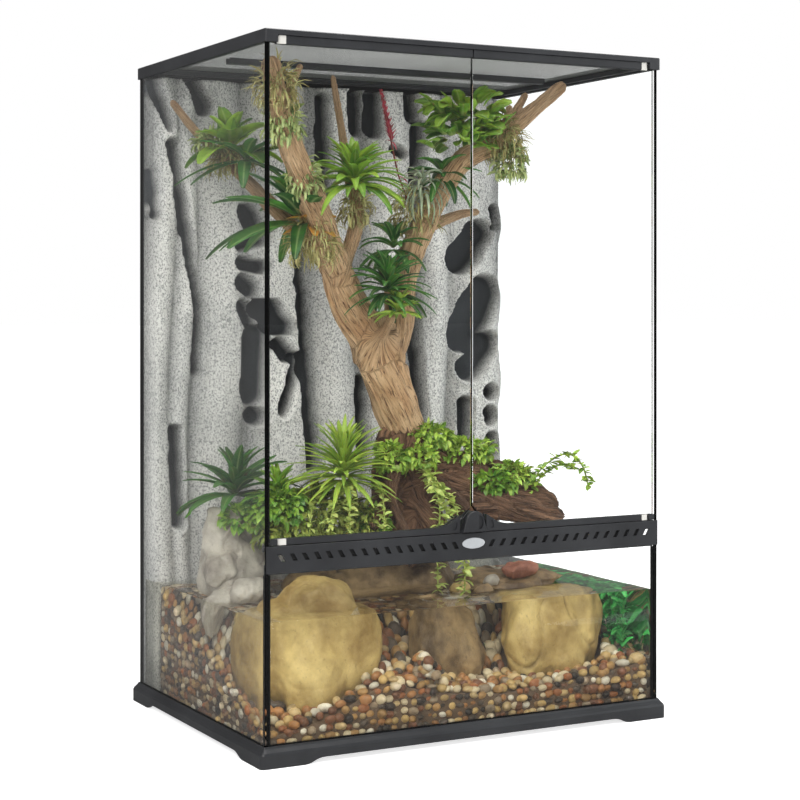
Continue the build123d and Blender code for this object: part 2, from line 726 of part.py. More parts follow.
with BuildPart() as background_panel:
    edge = inner_x - 0.8
    levels = 9
    for level in range(levels):
        height = floor_top + 0.2 + (panel_top - floor_top - 0.2) * level / (levels - 1)
        with BuildSketch(Plane.XY.offset(height)):
            with BuildLine():
                places = [-edge + 2 * edge * step / 44 for step in range(45)]
                Polyline(*[(x, panel_face(x, height)) for x in places])
                left_end = (-edge, panel_face(-edge, height))
                right_end = (edge, panel_face(edge, height))
                Polyline(left_end, (-edge, panel_back), (edge, panel_back), right_end)
            make_face()
    loft(ruled=True)
    with BuildSketch(Plane.XZ.offset(-panel_valley + panel_rib_depth + 8)):
        groove(10, (-276, 866), (-265, 814))
        groove(14, (-262, 792), (-236, 642), (-221, 557))
        groove(11, (-221, 557), (-225, 472))
        groove(18, (-231, 862), (-213, 820))
        groove(15, (-257, 387), (-251, 260))
        for step in range(4):
            groove(17, (-154, 646 - 30 * step), (-128, 652 - 32 * step))
        groove(24, (-146, 698), (-133, 672))
        groove(34, (-137, 438), (-134, 519))
        groove(34, (-121, 563), (-97, 531))
        groove(16, (-94, 410), (-73, 487))
        groove(20, (-44, 395), (-64, 577), (-73, 717))
        groove(15, (38, 360), (35, 452))
        groove(20, (-25, 733), (-28, 850))
        groove(24, (26, 820), (25, 856))
        groove(24, (57, 818), (55, 858))
        groove(21, (128, 783), (132, 832))
        groove(19, (125, 715), (125, 765))
        groove(18, (140, 377), (128, 481), (120, 586))
        groove(47, (203, 636), (234, 672))
        groove(60, (211, 522), (244, 579))
        groove(43, (219, 462), (250, 498))
        for step in range(3):
            groove(22, (254, 430 - 33 * step), (258, 424 - 33 * step))
        groove(22, (211, 360), (212, 412))
    extrude(amount=-panel_rib_depth - 26 + cavity_floor, mode=Mode.SUBTRACT)
    notch_low = (-edge - 1, 100, 0)
    add(block(notch_low, (-edge + panel_notch, 300, panel_notch_top)), mode=Mode.SUBTRACT)
    add(silicone_seams.part, mode=Mode.SUBTRACT)
    add(block((-edge, 100, 0), (edge, panel_back, total_height)), mode=Mode.INTERSECT)
keep(background_panel.part, "background_panel")


def stone(middle, radii, seed, grow=0, sides=11):
    # A boulder: uneven polygons stacked through five heights.
    with BuildPart() as lump:
        for share in (-0.97, -0.6, 0, 0.58, 0.95):
            ring = sqrt(1 - share * share)
            height = middle[2] + share * (radii[2] + grow)
            corners = []
            for side in range(sides):
                angle = radians(360 * side / sides)
                uneven = 1 + 0.06 * sin(3 * angle + seed) + 0.04 * sin(5 * angle + 2 * seed + share)
                corner_x = middle[0] + cos(angle) * ring * uneven * radii[0] + cos(angle) * grow
                corner_y = middle[1] + sin(angle) * ring * uneven * radii[1] + sin(angle) * grow
                corners.append((corner_x, corner_y))
            with BuildSketch(Plane.XY.offset(height)):
                Polygon(*corners, align=None)
        loft(ruled=True)
    return lump.part


def limb(start_radius, end_radius, *points, grow=0, sides=10, spacing=limb_step):
    # A tapering branch with slight swellings, lofted through polygons along a smooth path.
    path = Edge.make_spline([Vector(*point) for point in points])
    steps = max(3, round(path.length / spacing))
    with BuildPart() as branch:
        for step in range(steps + 1):
            share = step / steps
            direction = path.tangent_at(share)
            across = Vector(0, 1, 0) - direction * direction.Y
            swelling = 1 + 0.07 * sin(1.9 * step + start_radius)
            radius = start_radius + (end_radius - start_radius) * share
            with BuildSketch(Plane(origin=path.position_at(share), x_dir=across, z_dir=direction)):
                RegularPolygon(radius * swelling + grow, sides)
        loft(ruled=True)
    return branch.part


def tree(grow=0):
    # The forked driftwood with its limbs and twigs.
    foot = trunk_base - grow
    limbs = (
        limb(25, 36, (21, 0, foot - 20), (5, 0, 420), (-8, 0, 455), (-22, -2, 490), (-34, -5, 522),
             grow=grow),
        limb(27, 12, (-28, -4, 500), (-63, -10, 544), (-94, -25, 592), (-140, -55, 677), (-190, -90, 747),
             (-224, -113, 812), (-243, -128, 868), grow=grow),
        limb(8, 4, (-229, -115, 815), (-209, -112, 850), (-193, -105, 875), grow=grow),
        limb(11, 5, (-100, -32, 605), (-78, -31, 660), (-72, -29, 697), (-84, -28, 742), (-106, -24, 872),
             grow=grow),
        limb(23, 10, (-14, 0, 492), (8, 3, 530), (17, 5, 606), (57, -10, 702), (96, -27, 768),
             (144, -40, 790), (173, -45, 820), (240, -59, 876), grow=grow),
        limb(8, 4, (151, -41, 795), (173, -36, 831), (197, -32, 865), grow=grow),
        limb(7, 4, (140, -38, 788), (151, -48, 815), (158, -52, 843), grow=grow),
        limb(9, 5, (44, -3, 670), (84, 15, 683), (123, 25, 695), (153, 30, 699), grow=grow),
        limb(12, 6, (-118, -40, 640), (-154, 5, 672), (-179, 60, 723), (-207, 100, 766), (-243, 123, 806),
             (-274, 130, 845), grow=grow),
        limb(9, 5, (-40, -12, 505), (-38, -45, 530), (-35, -60, 547), grow=grow),
    )
    with BuildPart() as wood:
        add(limbs)
        add(block((-60, -60, foot - 60), (80, 60, foot)), mode=Mode.SUBTRACT)
    return wood.part


def root_mass(grow=0):
    # The dark roots and bark that the driftwood stands on.
    limbs = (
        limb(60, 31, (22, 10, 196), (20, 6, 280), (17, 2, 340), (16, 0, trunk_base + 10), grow=grow),
        limb(22, 10, (30, 0, 330), (80, -30, 312), (140, -50, 300), (215, -58, 284), grow=grow),
        limb(17, 9, (20, 10, 345), (90, 5, 346), (150, -10, 330), (200, -25, 318), grow=grow),
        limb(17, 7, (10, 0, 320), (-30, -40, 292), (-62, -60, 266), grow=grow),
        limb(15, 7, (22, -10, 300), (24, -62, 268), (44, -96, 222), grow=grow),
    )
    with BuildPart() as roots:
        add(limbs)
        add(block((-60, -60, trunk_base + grow), (80, 60, trunk_base + 60)), mode=Mode.SUBTRACT)
    return roots.part


yellow_at = (-185, -118, 122)
yellow_radii = (90, 66, 94)
dark_at = (8, -92, 92)
dark_radii = (56, 50, 58)
tan_at = (168, -112, 104)
tan_radii = (86, 62, 68)
grey_at = (-224, 50, 212)
grey_radii = (54, 70, 90)
core_at = (-20, 44, 128)
core_radii = (152, 78, 98)
slab_at = (150, -60, 178)
slab_radii = (84, 62, 18)
moss_at = (-128, -12, 270)
moss_radii = (82, 52, 52)

with BuildPart() as yellow_boulder:
    add(stone(yellow_at, yellow_radii, 1.2))
keep(yellow_boulder.part, "yellow_boulder")

with BuildPart() as dark_boulder:
    add(stone(dark_at, dark_radii, 0.4))
keep(dark_boulder.part, "dark_boulder")

with BuildPart() as tan_boulder:
    add(stone(tan_at, tan_radii, 2.7))
keep(tan_boulder.part, "tan_boulder")

# The room that each stone, root and limb takes, with its clearance
yellow_room = stone(yellow_at, yellow_radii, 1.2, slip)
dark_room = stone(dark_at, dark_radii, 0.4, slip)
tan_room = stone(tan_at, tan_radii, 2.7, slip)
core_room = stone(core_at, core_radii, 3.9, slip)
grey_room = stone(grey_at, grey_radii, 5.1, slip)
moss_room = stone(moss_at, moss_radii, 0.9, slip)
tree_room = tree(slip)
roots_room = root_mass(slip)

with BuildPart() as core_rock:
    add(stone(core_at, core_radii, 3.9))
    add((yellow_room, dark_room, tan_room), mode=Mode.SUBTRACT)
keep(core_rock.part, "core_rock")

with BuildPart() as grey_rock:
    add(stone(grey_at, grey_radii, 5.1))
    add(core_room, mode=Mode.SUBTRACT)
keep(grey_rock.part, "grey_rock")

# Gravel: cross-sections along the tank, deeper to the left and the back, cut round the stones
gravel_front_heights = [38, 53, 90, 70, 61, 64, 72, 84]
gravel_back_heights = [172, 160, 145, 130, 120, 115, 112, 110]
with BuildPart() as gravel_bed:
    reach = inner_x - 0.5
    count = len(gravel_front_heights)
    for step in range(count):
        front_height = gravel_front_heights[step]
        back_height = gravel_back_heights[step]
        middle_height = (front_height + back_height) / 2 + 6
        with BuildSketch(Plane.YZ.offset(-reach + 2 * reach * step / (count - 1))):
            Polygon(
                (-inner_y + 0.4, floor_top + 0.1),
                (gravel_back, floor_top + 0.1),
                (gravel_back, back_height),
                (-20, middle_height),
                (-inner_y + 0.4, front_height),
                align=None,
            )
    loft(ruled=True)
    corner_low = (-reach, gravel_back - 1, floor_top + 0.1)
    add(block(corner_low, (-reach + panel_notch - 1, inner_y - 0.4, panel_notch_top - 4)))
    add((silicone_seams.part, yellow_room, dark_room, tan_room, core_room, grey_room), mode=Mode.SUBTRACT)
keep(gravel_bed.part, "gravel_bed")

with BuildPart() as root_stump:
    add(root_mass())
    add((core_room, tan_room), mode=Mode.SUBTRACT)
keep(root_stump.part, "root_stump")

with BuildPart() as shore_slab:
    add(stone(slab_at, slab_radii, 4.4, sides=9))
    add((roots_room, core_room, tan_room), mode=Mode.SUBTRACT)
keep(shore_slab.part, "shore_slab")

with BuildPart() as driftwood:
    add(tree())
keep(driftwood.part, "driftwood")


def blade(base, angle, reach, rise, droop, width):
    # A pointed leaf: bent in its side view and tapered to its tip from above.
    out = Vector(cos(radians(angle)), sin(radians(angle)), 0)
    side = Vector(0, 0, 1).cross(out)
    bend = 0.55 * reach
    half = leaf_thickness / 2
    with BuildPart() as leaf:
        with BuildSketch(Plane(origin=base, x_dir=out, z_dir=-side)):
            Polygon(
                (0, -half),
                (bend, rise - half),
                (reach, rise - droop - half),
                (reach, rise - droop + half),
                (bend, rise + half),
                (0, half),
                align=None,
            )
        extrude(amount=width / 2, both=True)
        with BuildSketch(Plane(origin=base, x_dir=out, z_dir=(0, 0, 1))):
            Polygon(
                (0, -0.3 * width),
                (bend, -0.5 * width),
                (reach, -0.07 * width),
                (reach, 0.07 * width),
                (bend, 0.5 * width),
                (0, 0.3 * width),
                align=None,
            )
        extrude(amount=rise + droop + leaf_thickness, both=True, mode=Mode.INTERSECT)
    return leaf.part


def rosette(base, blades, reach, rise, droop, width, first=0, spread=360):
    # Leaves set round a short heart, uneven in length and height.
    leaves = []
    for step in range(blades):
        uneven = 1 + 0.22 * sin(2.3 * step + base[0])
        angle = first + spread * step / blades
        leaves.append(blade(base, angle, reach * uneven, rise * (2 - uneven), droop, width))
    with BuildPart() as plant:
        with Locations(base):
            Cylinder(width * 0.55, width * 1.2)
        add(leaves)
    return plant.part


def settle(piece, *rooms):
    # Takes away what other pieces fill and keeps the largest part that is left.
    piece = piece - list(rooms)
    return piece.solids().sort_by(SortBy.VOLUME)[-1]


# Plants on the driftwood
with BuildPart() as large_bromeliad:
    add(settle(rosette((-93, -62, 716), 11, 62, 58, 14, 13), tree_room))
keep(large_bromeliad.part, "large_bromeliad")

with BuildPart() as small_bromeliad:
    add(settle(rosette((-44, -58, 572), 9, 56, 38, 8, 12, 150, 300), tree_room))
keep(small_bromeliad.part, "small_bromeliad")

with BuildPart() as hanging_bromeliad:
    add(settle(rosette((-158, -38, 668), 9, 84, 42, 60, 14, 60, 260), tree_room))
keep(hanging_bromeliad.part, "hanging_bromeliad")

with BuildPart() as left_canopy_plant:
    add(settle(rosette((-207, 90, 774), 10, 58, 40, 12, 12), tree_room))
keep(left_canopy_plant.part, "left_canopy_plant")

with BuildPart() as right_canopy_plant:
    add(settle(rosette((104, -40, 794), 11, 62, 52, 10, 12), tree_room))
keep(right_canopy_plant.part, "right_canopy_plant")

with BuildPart() as air_plant:
    add(settle(rosette((40, -16, 724), 9, 40, 22, 20, 5), tree_room))
keep(air_plant.part, "air_plant")

# Plants on the land part
with BuildPart() as moss_bank:
    add(stone(moss_at, moss_radii, 0.9))
    add((core_room, grey_room, roots_room, yellow_room), mode=Mode.SUBTRACT)
keep(moss_bank.part, "moss_bank")

with BuildPart() as grassy_shrub:
    add(settle(rosette((-96, -36, 316), 13, 62, 66, 16, 9), moss_room, roots_room))
keep(grassy_shrub.part, "grassy_shrub")

with BuildPart() as left_fern:
    add(settle(rosette((-220, 48, 302), 11, 52, 74, 22, 9), grey_room, moss_room))
keep(left_fern.part, "left_fern")


def creeper(base_radius, leaf_length, *paths):
    # Trailing stems with a leaf at each side along them.
    growth = []
    for points in paths:
        growth.append(limb(base_radius, base_radius * 0.6, *points, sides=5, spacing=stem_step))
        path = Edge.make_spline([Vector(*point) for point in points])
        count = int(path.length / 24)
        for step in range(1, count + 1):
            place = path.position_at(step / count)
            seat = (place.X, place.Y, place.Z - 2)
            growth.append(blade(seat, 137 * step, leaf_length, 5, 9, 7))
    with BuildPart() as strands:
        add(growth)
    return strands.part


with BuildPart() as shore_creeper:
    hang_one = ((18, -30, 352), (20, -50, 346), (14, -104, 300), (4, -118, 240), (2, -122, 178))
    hang_two = ((18, -30, 352), (20, -50, 346), (34, -112, 290), (40, -126, 230), (38, -132, 176))
    add(settle(creeper(4, 20, hang_one, hang_two), roots_room))
keep(shore_creeper.part, "shore_creeper")

with BuildPart() as arching_vine:
    arch = ((184, -58, 290), (204, -64, 332), (240, -72, 352), (262, -80, 336), (270, -84, 304))
    add(settle(creeper(4, 15, arch), roots_room))
keep(arching_vine.part, "arching_vine")

with BuildPart() as water_plant:
    gravel_room = Pos(0, 0, slip) * gravel_bed.part
    add(settle(rosette((252, 24, 104), 9, 26, 74, 6, 13), gravel_room, tan_room))
keep(water_plant.part, "water_plant")
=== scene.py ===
import bpy
import bmesh
import json
import math
import random
from mathutils import Matrix, Vector, kdtree, noise


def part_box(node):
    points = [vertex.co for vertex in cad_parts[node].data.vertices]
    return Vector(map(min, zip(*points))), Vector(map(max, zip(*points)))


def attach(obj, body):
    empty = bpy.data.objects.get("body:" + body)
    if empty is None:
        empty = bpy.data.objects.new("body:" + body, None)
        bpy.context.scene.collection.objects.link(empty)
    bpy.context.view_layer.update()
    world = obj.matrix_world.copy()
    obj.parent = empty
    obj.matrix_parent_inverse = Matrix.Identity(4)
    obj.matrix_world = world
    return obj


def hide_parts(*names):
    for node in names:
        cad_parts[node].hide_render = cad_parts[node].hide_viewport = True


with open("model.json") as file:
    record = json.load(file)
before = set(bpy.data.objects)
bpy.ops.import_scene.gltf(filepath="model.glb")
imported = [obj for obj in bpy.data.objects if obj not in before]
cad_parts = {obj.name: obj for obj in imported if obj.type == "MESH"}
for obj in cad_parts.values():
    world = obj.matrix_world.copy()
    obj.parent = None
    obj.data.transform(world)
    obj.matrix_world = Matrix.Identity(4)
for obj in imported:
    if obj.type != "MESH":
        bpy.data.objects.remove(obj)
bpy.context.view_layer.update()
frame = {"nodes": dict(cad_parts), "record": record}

scene = bpy.context.scene
up = Vector((0, 0, 1))
turnRound = 6.283   # a whole turn in radians, for leaves that head anywhere


# Small helpers for node trees
def feed(tree, socket, value):
    # Links another socket, or sets a plain value. Colours are three numbers.
    if hasattr(value, "is_output"):
        tree.links.new(value, socket)
    elif socket.type == "RGBA":
        socket.default_value = (*value, 1)
    else:
        socket.default_value = value


def newMaterial(name):
    finish = bpy.data.materials.new(name)
    finish.use_nodes = True
    return finish, finish.node_tree, finish.node_tree.nodes["Principled BSDF"]


def setInputs(tree, node, **values):
    # An underscore in a name stands for a space: Base_Color feeds Base Color.
    for label, value in values.items():
        feed(tree, node.inputs[label.replace("_", " ")], value)


def mathNode(tree, operation, *values):
    node = tree.nodes.new("ShaderNodeMath")
    node.operation = operation
    for socket, value in zip(node.inputs, values):
        feed(tree, socket, value)
    return node.outputs[0]


def rangeNode(tree, value, low, high, toLow=0.0, toHigh=1.0):
    node = tree.nodes.new("ShaderNodeMapRange")
    node.inputs["From Min"].default_value = low
    node.inputs["From Max"].default_value = high
    node.inputs["To Min"].default_value = toLow
    node.inputs["To Max"].default_value = toHigh
    tree.links.new(value, node.inputs["Value"])
    return node.outputs[0]


def mixColour(tree, factor, first, second):
    node = tree.nodes.new("ShaderNodeMix")
    node.data_type = "RGBA"
    for index, value in ((0, factor), (6, first), (7, second)):
        feed(tree, node.inputs[index], value)
    return node.outputs[2]


def noiseNode(tree, place, scale, detail, rough=0.6, twist=0.0):
    node = tree.nodes.new("ShaderNodeTexNoise")
    feed(tree, node.inputs["Vector"], place)
    feed(tree, node.inputs["Scale"], scale)
    node.inputs["Detail"].default_value = detail
    node.inputs["Roughness"].default_value = rough
    node.inputs["Distortion"].default_value = twist
    return node.outputs["Fac"]


def stretchNode(tree, place, amounts):
    node = tree.nodes.new("ShaderNodeVectorMath")
    node.operation = "MULTIPLY"
    node.inputs[1].default_value = amounts
    tree.links.new(place, node.inputs[0])
    return node.outputs[0]


def splitNode(tree, place):
    node = tree.nodes.new("ShaderNodeSeparateXYZ")
    tree.links.new(place, node.inputs[0])
    return node.outputs


def bump(tree, shader, height, strength, distance):
    node = tree.nodes.new("ShaderNodeBump")
    node.inputs["Strength"].default_value = strength
    node.inputs["Distance"].default_value = distance
    tree.links.new(height, node.inputs["Height"])
    tree.links.new(node.outputs["Normal"], shader.inputs["Normal"])


def objectPlace(tree):
    return tree.nodes.new("ShaderNodeTexCoord").outputs["Object"]


def attributeNode(tree, name):
    node = tree.nodes.new("ShaderNodeAttribute")
    node.attribute_name = name
    return node.outputs


# Camera, light and floor
studio = {
    "place": (-1.20836, -2.26808, 0.56835),
    "turn": 28.264,
    "lens": 82.67,
    "shiftY": -0.1225,
    "sky": 0.40,        # how bright the surroundings light the object
    "mirror": 0.16,     # how bright they look in reflections
    "floorSize": 40,
    "floorTone": 0.93,
    "floorGlow": 0.74,
    "through": 1.34,    # makes up for the light that the panes take
    "faces": 4,         # glass faces behind which that is complete
    "lamps": {
        "keyLight": {"place": (-2.2, -2.6, 2.6), "aim": (0, 0, 0.4), "size": 1.6, "power": 60,
                     "tint": (1, 0.98, 0.95)},
        "topLight": {"place": (0.2, -0.2, 2.6), "aim": (0, 0, 0.5), "size": 1.3, "power": 44,
                     "tint": (1, 1, 1)},
        "fillLight": {"place": (2.6, -1.6, 1.4), "aim": (0, 0, 0.4), "size": 1.8, "power": 18,
                      "tint": (0.95, 0.98, 1)},
    },
}


def setUpCamera(look):
    lens = bpy.data.cameras.new("studioCamera")
    lens.lens = look["lens"]
    lens.sensor_width = 36
    lens.shift_y = look["shiftY"]
    lens.clip_start = 0.05
    viewer = bpy.data.objects.new("studioCamera", lens)
    scene.collection.objects.link(viewer)
    viewer.location = look["place"]
    viewer.rotation_euler = (math.radians(90), 0, math.radians(-look["turn"]))
    scene.camera = viewer
    scene.view_settings.view_transform = "Standard"


def setUpSky(look):
    sky = bpy.data.worlds.new("studioSky")
    scene.world = sky
    sky.use_nodes = True
    tree = sky.node_tree
    depths = tree.nodes.new("ShaderNodeLightPath").outputs
    diffuse = rangeNode(tree, depths["Diffuse Depth"], 0, 1, 1.0, look["sky"])
    glossy = rangeNode(tree, depths["Glossy Depth"], 0, 1, 1.0, look["mirror"])
    behind = rangeNode(tree, depths["Transmission Depth"], 0, look["faces"], 1.0, look["through"])
    bright = mathNode(tree, "MULTIPLY", mathNode(tree, "MULTIPLY", diffuse, glossy), behind)
    setInputs(tree, tree.nodes["Background"], Color=(1, 1, 1), Strength=bright)


def setUpFloor(look):
    bm = bmesh.new()
    bmesh.ops.create_grid(bm, x_segments=1, y_segments=1, size=look["floorSize"])
    mesh = bpy.data.meshes.new("floor")
    bm.to_mesh(mesh)
    bm.free()
    ground = bpy.data.objects.new("floor", mesh)
    scene.collection.objects.link(ground)
    pale, tree, shader = newMaterial("paleFloor")
    depths = tree.nodes.new("ShaderNodeLightPath").outputs
    glow = look["floorGlow"]
    setInputs(
        tree, shader, Roughness=0.8,
        Base_Color=rangeNode(tree, depths["Glossy Depth"], 0, 1, look["floorTone"], look["mirror"]),
        Emission_Color=rangeNode(tree, depths["Glossy Depth"], 0, 1, 1.0, look["mirror"]),
        Emission_Strength=rangeNode(
            tree, depths["Transmission Depth"], 0, look["faces"], glow, glow * look["through"]))
    mesh.materials.append(pale)


def addLamp(name, plan):
    lamp = bpy.data.lights.new(name, "AREA")
    lamp.size = plan["size"]
    lamp.energy = plan["power"]
    lamp.color = plan["tint"]
    holder = bpy.data.objects.new(name, lamp)
    scene.collection.objects.link(holder)
    holder.location = plan["place"]
    aim = Vector(plan["aim"]) - Vector(plan["place"])
    holder.rotation_euler = aim.to_track_quat("-Z", "Y").to_euler()


def setUpStudio(look):
    setUpCamera(look)
    setUpSky(look)
    for name, plan in look["lamps"].items():
        addLamp(name, plan)
    setUpFloor(look)


setUpStudio(studio)
print("studio ready")


# Effects that several finishes share, as node groups
def newGroup(name, inputs, outputs):
    group = bpy.data.node_groups.new(name, "ShaderNodeTree")
    for label, kind in inputs.items():
        group.interface.new_socket(label, in_out="INPUT", socket_type=kind)
    for label, kind in outputs.items():
        group.interface.new_socket(label, in_out="OUTPUT", socket_type=kind)
    return group, group.nodes.new("NodeGroupInput").outputs, group.nodes.new("NodeGroupOutput").inputs


def buildSpeckle():
    # Coarse patches and fine specks, for foam, stone and moulded plastic.
    group, given, result = newGroup(
        "speckle",
        {"Vector": "NodeSocketVector", "Patch Scale": "NodeSocketFloat", "Speck Scale": "NodeSocketFloat"},
        {"Patches": "NodeSocketFloat", "Specks": "NodeSocketFloat", "Height": "NodeSocketFloat"},
    )
    patches = noiseNode(group, given["Vector"], given["Patch Scale"], 6, 0.62)
    specks = noiseNode(group, given["Vector"], given["Speck Scale"], 3, 0.7)
    middle = noiseNode(group, given["Vector"], mathNode(group, "MULTIPLY", given["Patch Scale"], 7), 5)
    feed(group, result["Patches"], patches)
    feed(group, result["Specks"], specks)
    feed(group, result["Height"], mathNode(group, "ADD", middle, specks))
    return group


def buildGrain():
    # Streaks that follow a branch: Along runs round it in X and Y and along it in Z.
    group, given, result = newGroup(
        "grain",
        {"Along": "NodeSocketVector", "Place": "NodeSocketVector"},
        {"Streaks": "NodeSocketFloat", "Cracks": "NodeSocketFloat", "Height": "NodeSocketFloat"},
    )
    fibres = stretchNode(group, given["Along"], (3.8, 3.8, 1.7))
    cracks = noiseNode(group, fibres, 3.2, 5, 0.7, 0.6)
    fine = noiseNode(group, given["Place"], 240, 3)
    feed(group, result["Streaks"], noiseNode(group, fibres, 1.6, 8, 0.66))
    feed(group, result["Cracks"], cracks)
    feed(group, result["Height"], mathNode(group, "MULTIPLY_ADD", fine, 0.25, cracks))
    return group


def buildLeafTint():
    # The leaf attribute holds across, along and tone.
    group, given, result = newGroup(
        "leafTint",
        {"Leaf": "NodeSocketVector", "Place": "NodeSocketVector", "Dark": "NodeSocketColor",
         "Light": "NodeSocketColor", "Base": "NodeSocketColor", "Rib": "NodeSocketColor"},
        {"Color": "NodeSocketColor", "Height": "NodeSocketFloat"},
    )
    across, along, tone = splitNode(group, given["Leaf"])
    blotch = rangeNode(group, noiseNode(group, given["Place"], 55, 3), 0.3, 0.7, -0.25, 0.25)
    shade = rangeNode(group, mathNode(group, "ADD", tone, blotch), 0, 1)
    body = mixColour(group, shade, given["Dark"], given["Light"])
    rib = rangeNode(group, mathNode(group, "ABSOLUTE", across), 0.22, 0.0, 0, 0.35)
    foot = rangeNode(group, along, 0.22, 0.0, 0, 0.6)
    ribbed = mixColour(group, rib, body, given["Rib"])
    feed(group, result["Color"], mixColour(group, foot, ribbed, given["Base"]))
    feed(group, result["Height"], rib)
    return group


effects = {"speckle": buildSpeckle(), "grain": buildGrain(), "leafTint": buildLeafTint()}


def useGroup(tree, name, **values):
    node = tree.nodes.new("ShaderNodeGroup")
    node.node_tree = effects[name]
    setInputs(tree, node, **values)
    return node.outputs


# Plastic, nylon, silicone and the badge
plasticTones = {
    "blackPlastic": {"dark": (0.024, 0.025, 0.028), "light": (0.038, 0.040, 0.044), "roughness": 0.40},
    "nylon": {"dark": (0.60, 0.59, 0.55), "light": (0.70, 0.69, 0.65), "roughness": 0.5},
    "silicone": {"dark": (0.012, 0.012, 0.013), "light": (0.02, 0.02, 0.02), "roughness": 0.3},
    "badge": {"dark": (0.42, 0.44, 0.46), "light": (0.58, 0.60, 0.62), "roughness": 0.3},
}


def plasticFinish(name, plan):
    finish, tree, shader = newMaterial(name)
    grain = useGroup(tree, "speckle", Vector=objectPlace(tree), Patch_Scale=9.0, Speck_Scale=900.0)
    tone = rangeNode(tree, grain["Patches"], 0.35, 0.7)
    rough = plan["roughness"]
    setInputs(
        tree, shader,
        Base_Color=mixColour(tree, tone, plan["dark"], plan["light"]),
        Roughness=rangeNode(tree, grain["Specks"], 0.3, 0.7, rough - 0.07, rough + 0.07))
    bump(tree, shader, grain["Specks"], 0.12, 0.0004)
    return finish


# Glass and water
clearTones = {
    "floatGlass": {"tint": (0.988, 0.996, 0.992), "ior": 1.45},
    "water": {"tint": (0.955, 0.935, 0.83), "ior": 1.33},
}


def glassFinish(name, plan):
    # Shadow rays pass straight through, so lamps reach the inside.
    finish, tree, shader = newMaterial(name)
    shader.inputs["Base Color"].default_value = (*plan["tint"], 1)
    shader.inputs["Roughness"].default_value = 0.0
    shader.inputs["IOR"].default_value = plan["ior"]
    shader.inputs["Transmission Weight"].default_value = 1.0
    clear = tree.nodes.new("ShaderNodeBsdfTransparent")
    clear.inputs["Color"].default_value = (0.95, 0.97, 0.96, 1)
    shadow = tree.nodes.new("ShaderNodeLightPath").outputs["Is Shadow Ray"]
    choice = tree.nodes.new("ShaderNodeMixShader")
    tree.links.new(shadow, choice.inputs[0])
    tree.links.new(shader.outputs[0], choice.inputs[1])
    tree.links.new(clear.outputs[0], choice.inputs[2])
    tree.links.new(choice.outputs[0], tree.nodes["Material Output"].inputs["Surface"])
    return finish


# The lid's woven screen and the strip behind the vent slots
screenWeaves = {
    "wovenScreen": {"axes": ("X", "Y"), "pitch": 0.0024, "wire": 0.0008,
                    "dark": (0.20, 0.21, 0.20), "light": (0.30, 0.31, 0.30)},
    "ventScreen": {"axes": ("X", "Z"), "pitch": 0.0012, "wire": 0.0009,
                   "dark": (0.012, 0.012, 0.012), "light": (0.024, 0.024, 0.025)},
}


def screenFinish(name, plan):
    # The gaps between square wires are clear.
    finish, tree, shader = newMaterial(name)
    place = splitNode(tree, objectPlace(tree))
    wires = []
    for axis in plan["axes"]:
        wave = mathNode(tree, "PINGPONG", place[axis], plan["pitch"] / 2)
        wires.append(mathNode(tree, "LESS_THAN", wave, plan["wire"] / 2))
    grain = useGroup(tree, "speckle", Vector=objectPlace(tree), Patch_Scale=12.0, Speck_Scale=700.0)
    tone = rangeNode(tree, grain["Patches"], 0.3, 0.7)
    setInputs(
        tree, shader, Metallic=0.3, Roughness=0.5,
        Base_Color=mixColour(tree, tone, plan["dark"], plan["light"]),
        Alpha=mathNode(tree, "MAXIMUM", *wires))
    return finish


# The background's painted foam
# hollow is painted shade: the dark colour laid into the slots and the valleys between ribs.
foamTones = {
    "rockFoam": {"dark": (0.60, 0.595, 0.575), "light": (0.92, 0.90, 0.86), "speck": (0.14, 0.145, 0.15),
                 "dust": (0.95, 0.94, 0.90), "hollow": (0.042, 0.046, 0.052)},
}


def foamFinish(name, plan):
    finish, tree, shader = newMaterial(name)
    place = stretchNode(tree, objectPlace(tree), (1, 1, 0.8))
    grain = useGroup(tree, "speckle", Vector=place, Patch_Scale=6.0, Speck_Scale=430.0)
    tone = rangeNode(tree, grain["Patches"], 0.36, 0.66)
    face = mixColour(tree, tone, plan["dark"], plan["light"])
    speck = rangeNode(tree, grain["Specks"], 0.50, 0.40, 0, 0.75)
    face = mixColour(tree, speck, face, plan["speck"])
    dust = rangeNode(tree, grain["Specks"], 0.54, 0.62, 0, 0.6)
    face = mixColour(tree, dust, face, plan["dust"])
    # Painted shade: the deep attribute darkens the slots and the valleys between ribs towards the hollow
    # colour.
    hollow = rangeNode(tree, attributeNode(tree, "deep")["Fac"], 0.0, 0.8)
    setInputs(tree, shader, Base_Color=mixColour(tree, hollow, face, plan["hollow"]), Roughness=0.9)
    bump(tree, shader, grain["Specks"], 0.5, 0.0016)
    return finish


# Stone
# The vein colour darkens fine specks, and as painted shade it darkens the creases and dips.
stoneTones = {
    "sandstone": {"dark": (0.30, 0.185, 0.05), "light": (0.70, 0.52, 0.21), "veinAndShade": (0.13, 0.07, 0.02),
                  "patch": 14.0, "roughness": 0.5},
    "brownRock": {"dark": (0.11, 0.065, 0.03), "light": (0.46, 0.31, 0.15), "veinAndShade": (0.04, 0.022, 0.012),
                  "patch": 22.0, "roughness": 0.6},
    "greyRock": {"dark": (0.26, 0.22, 0.18), "light": (0.62, 0.57, 0.48), "veinAndShade": (0.10, 0.07, 0.05),
                 "patch": 20.0, "roughness": 0.6},
    "redRock": {"dark": (0.16, 0.05, 0.028), "light": (0.42, 0.17, 0.10), "veinAndShade": (0.06, 0.025, 0.015),
                "patch": 20.0, "roughness": 0.6},
}


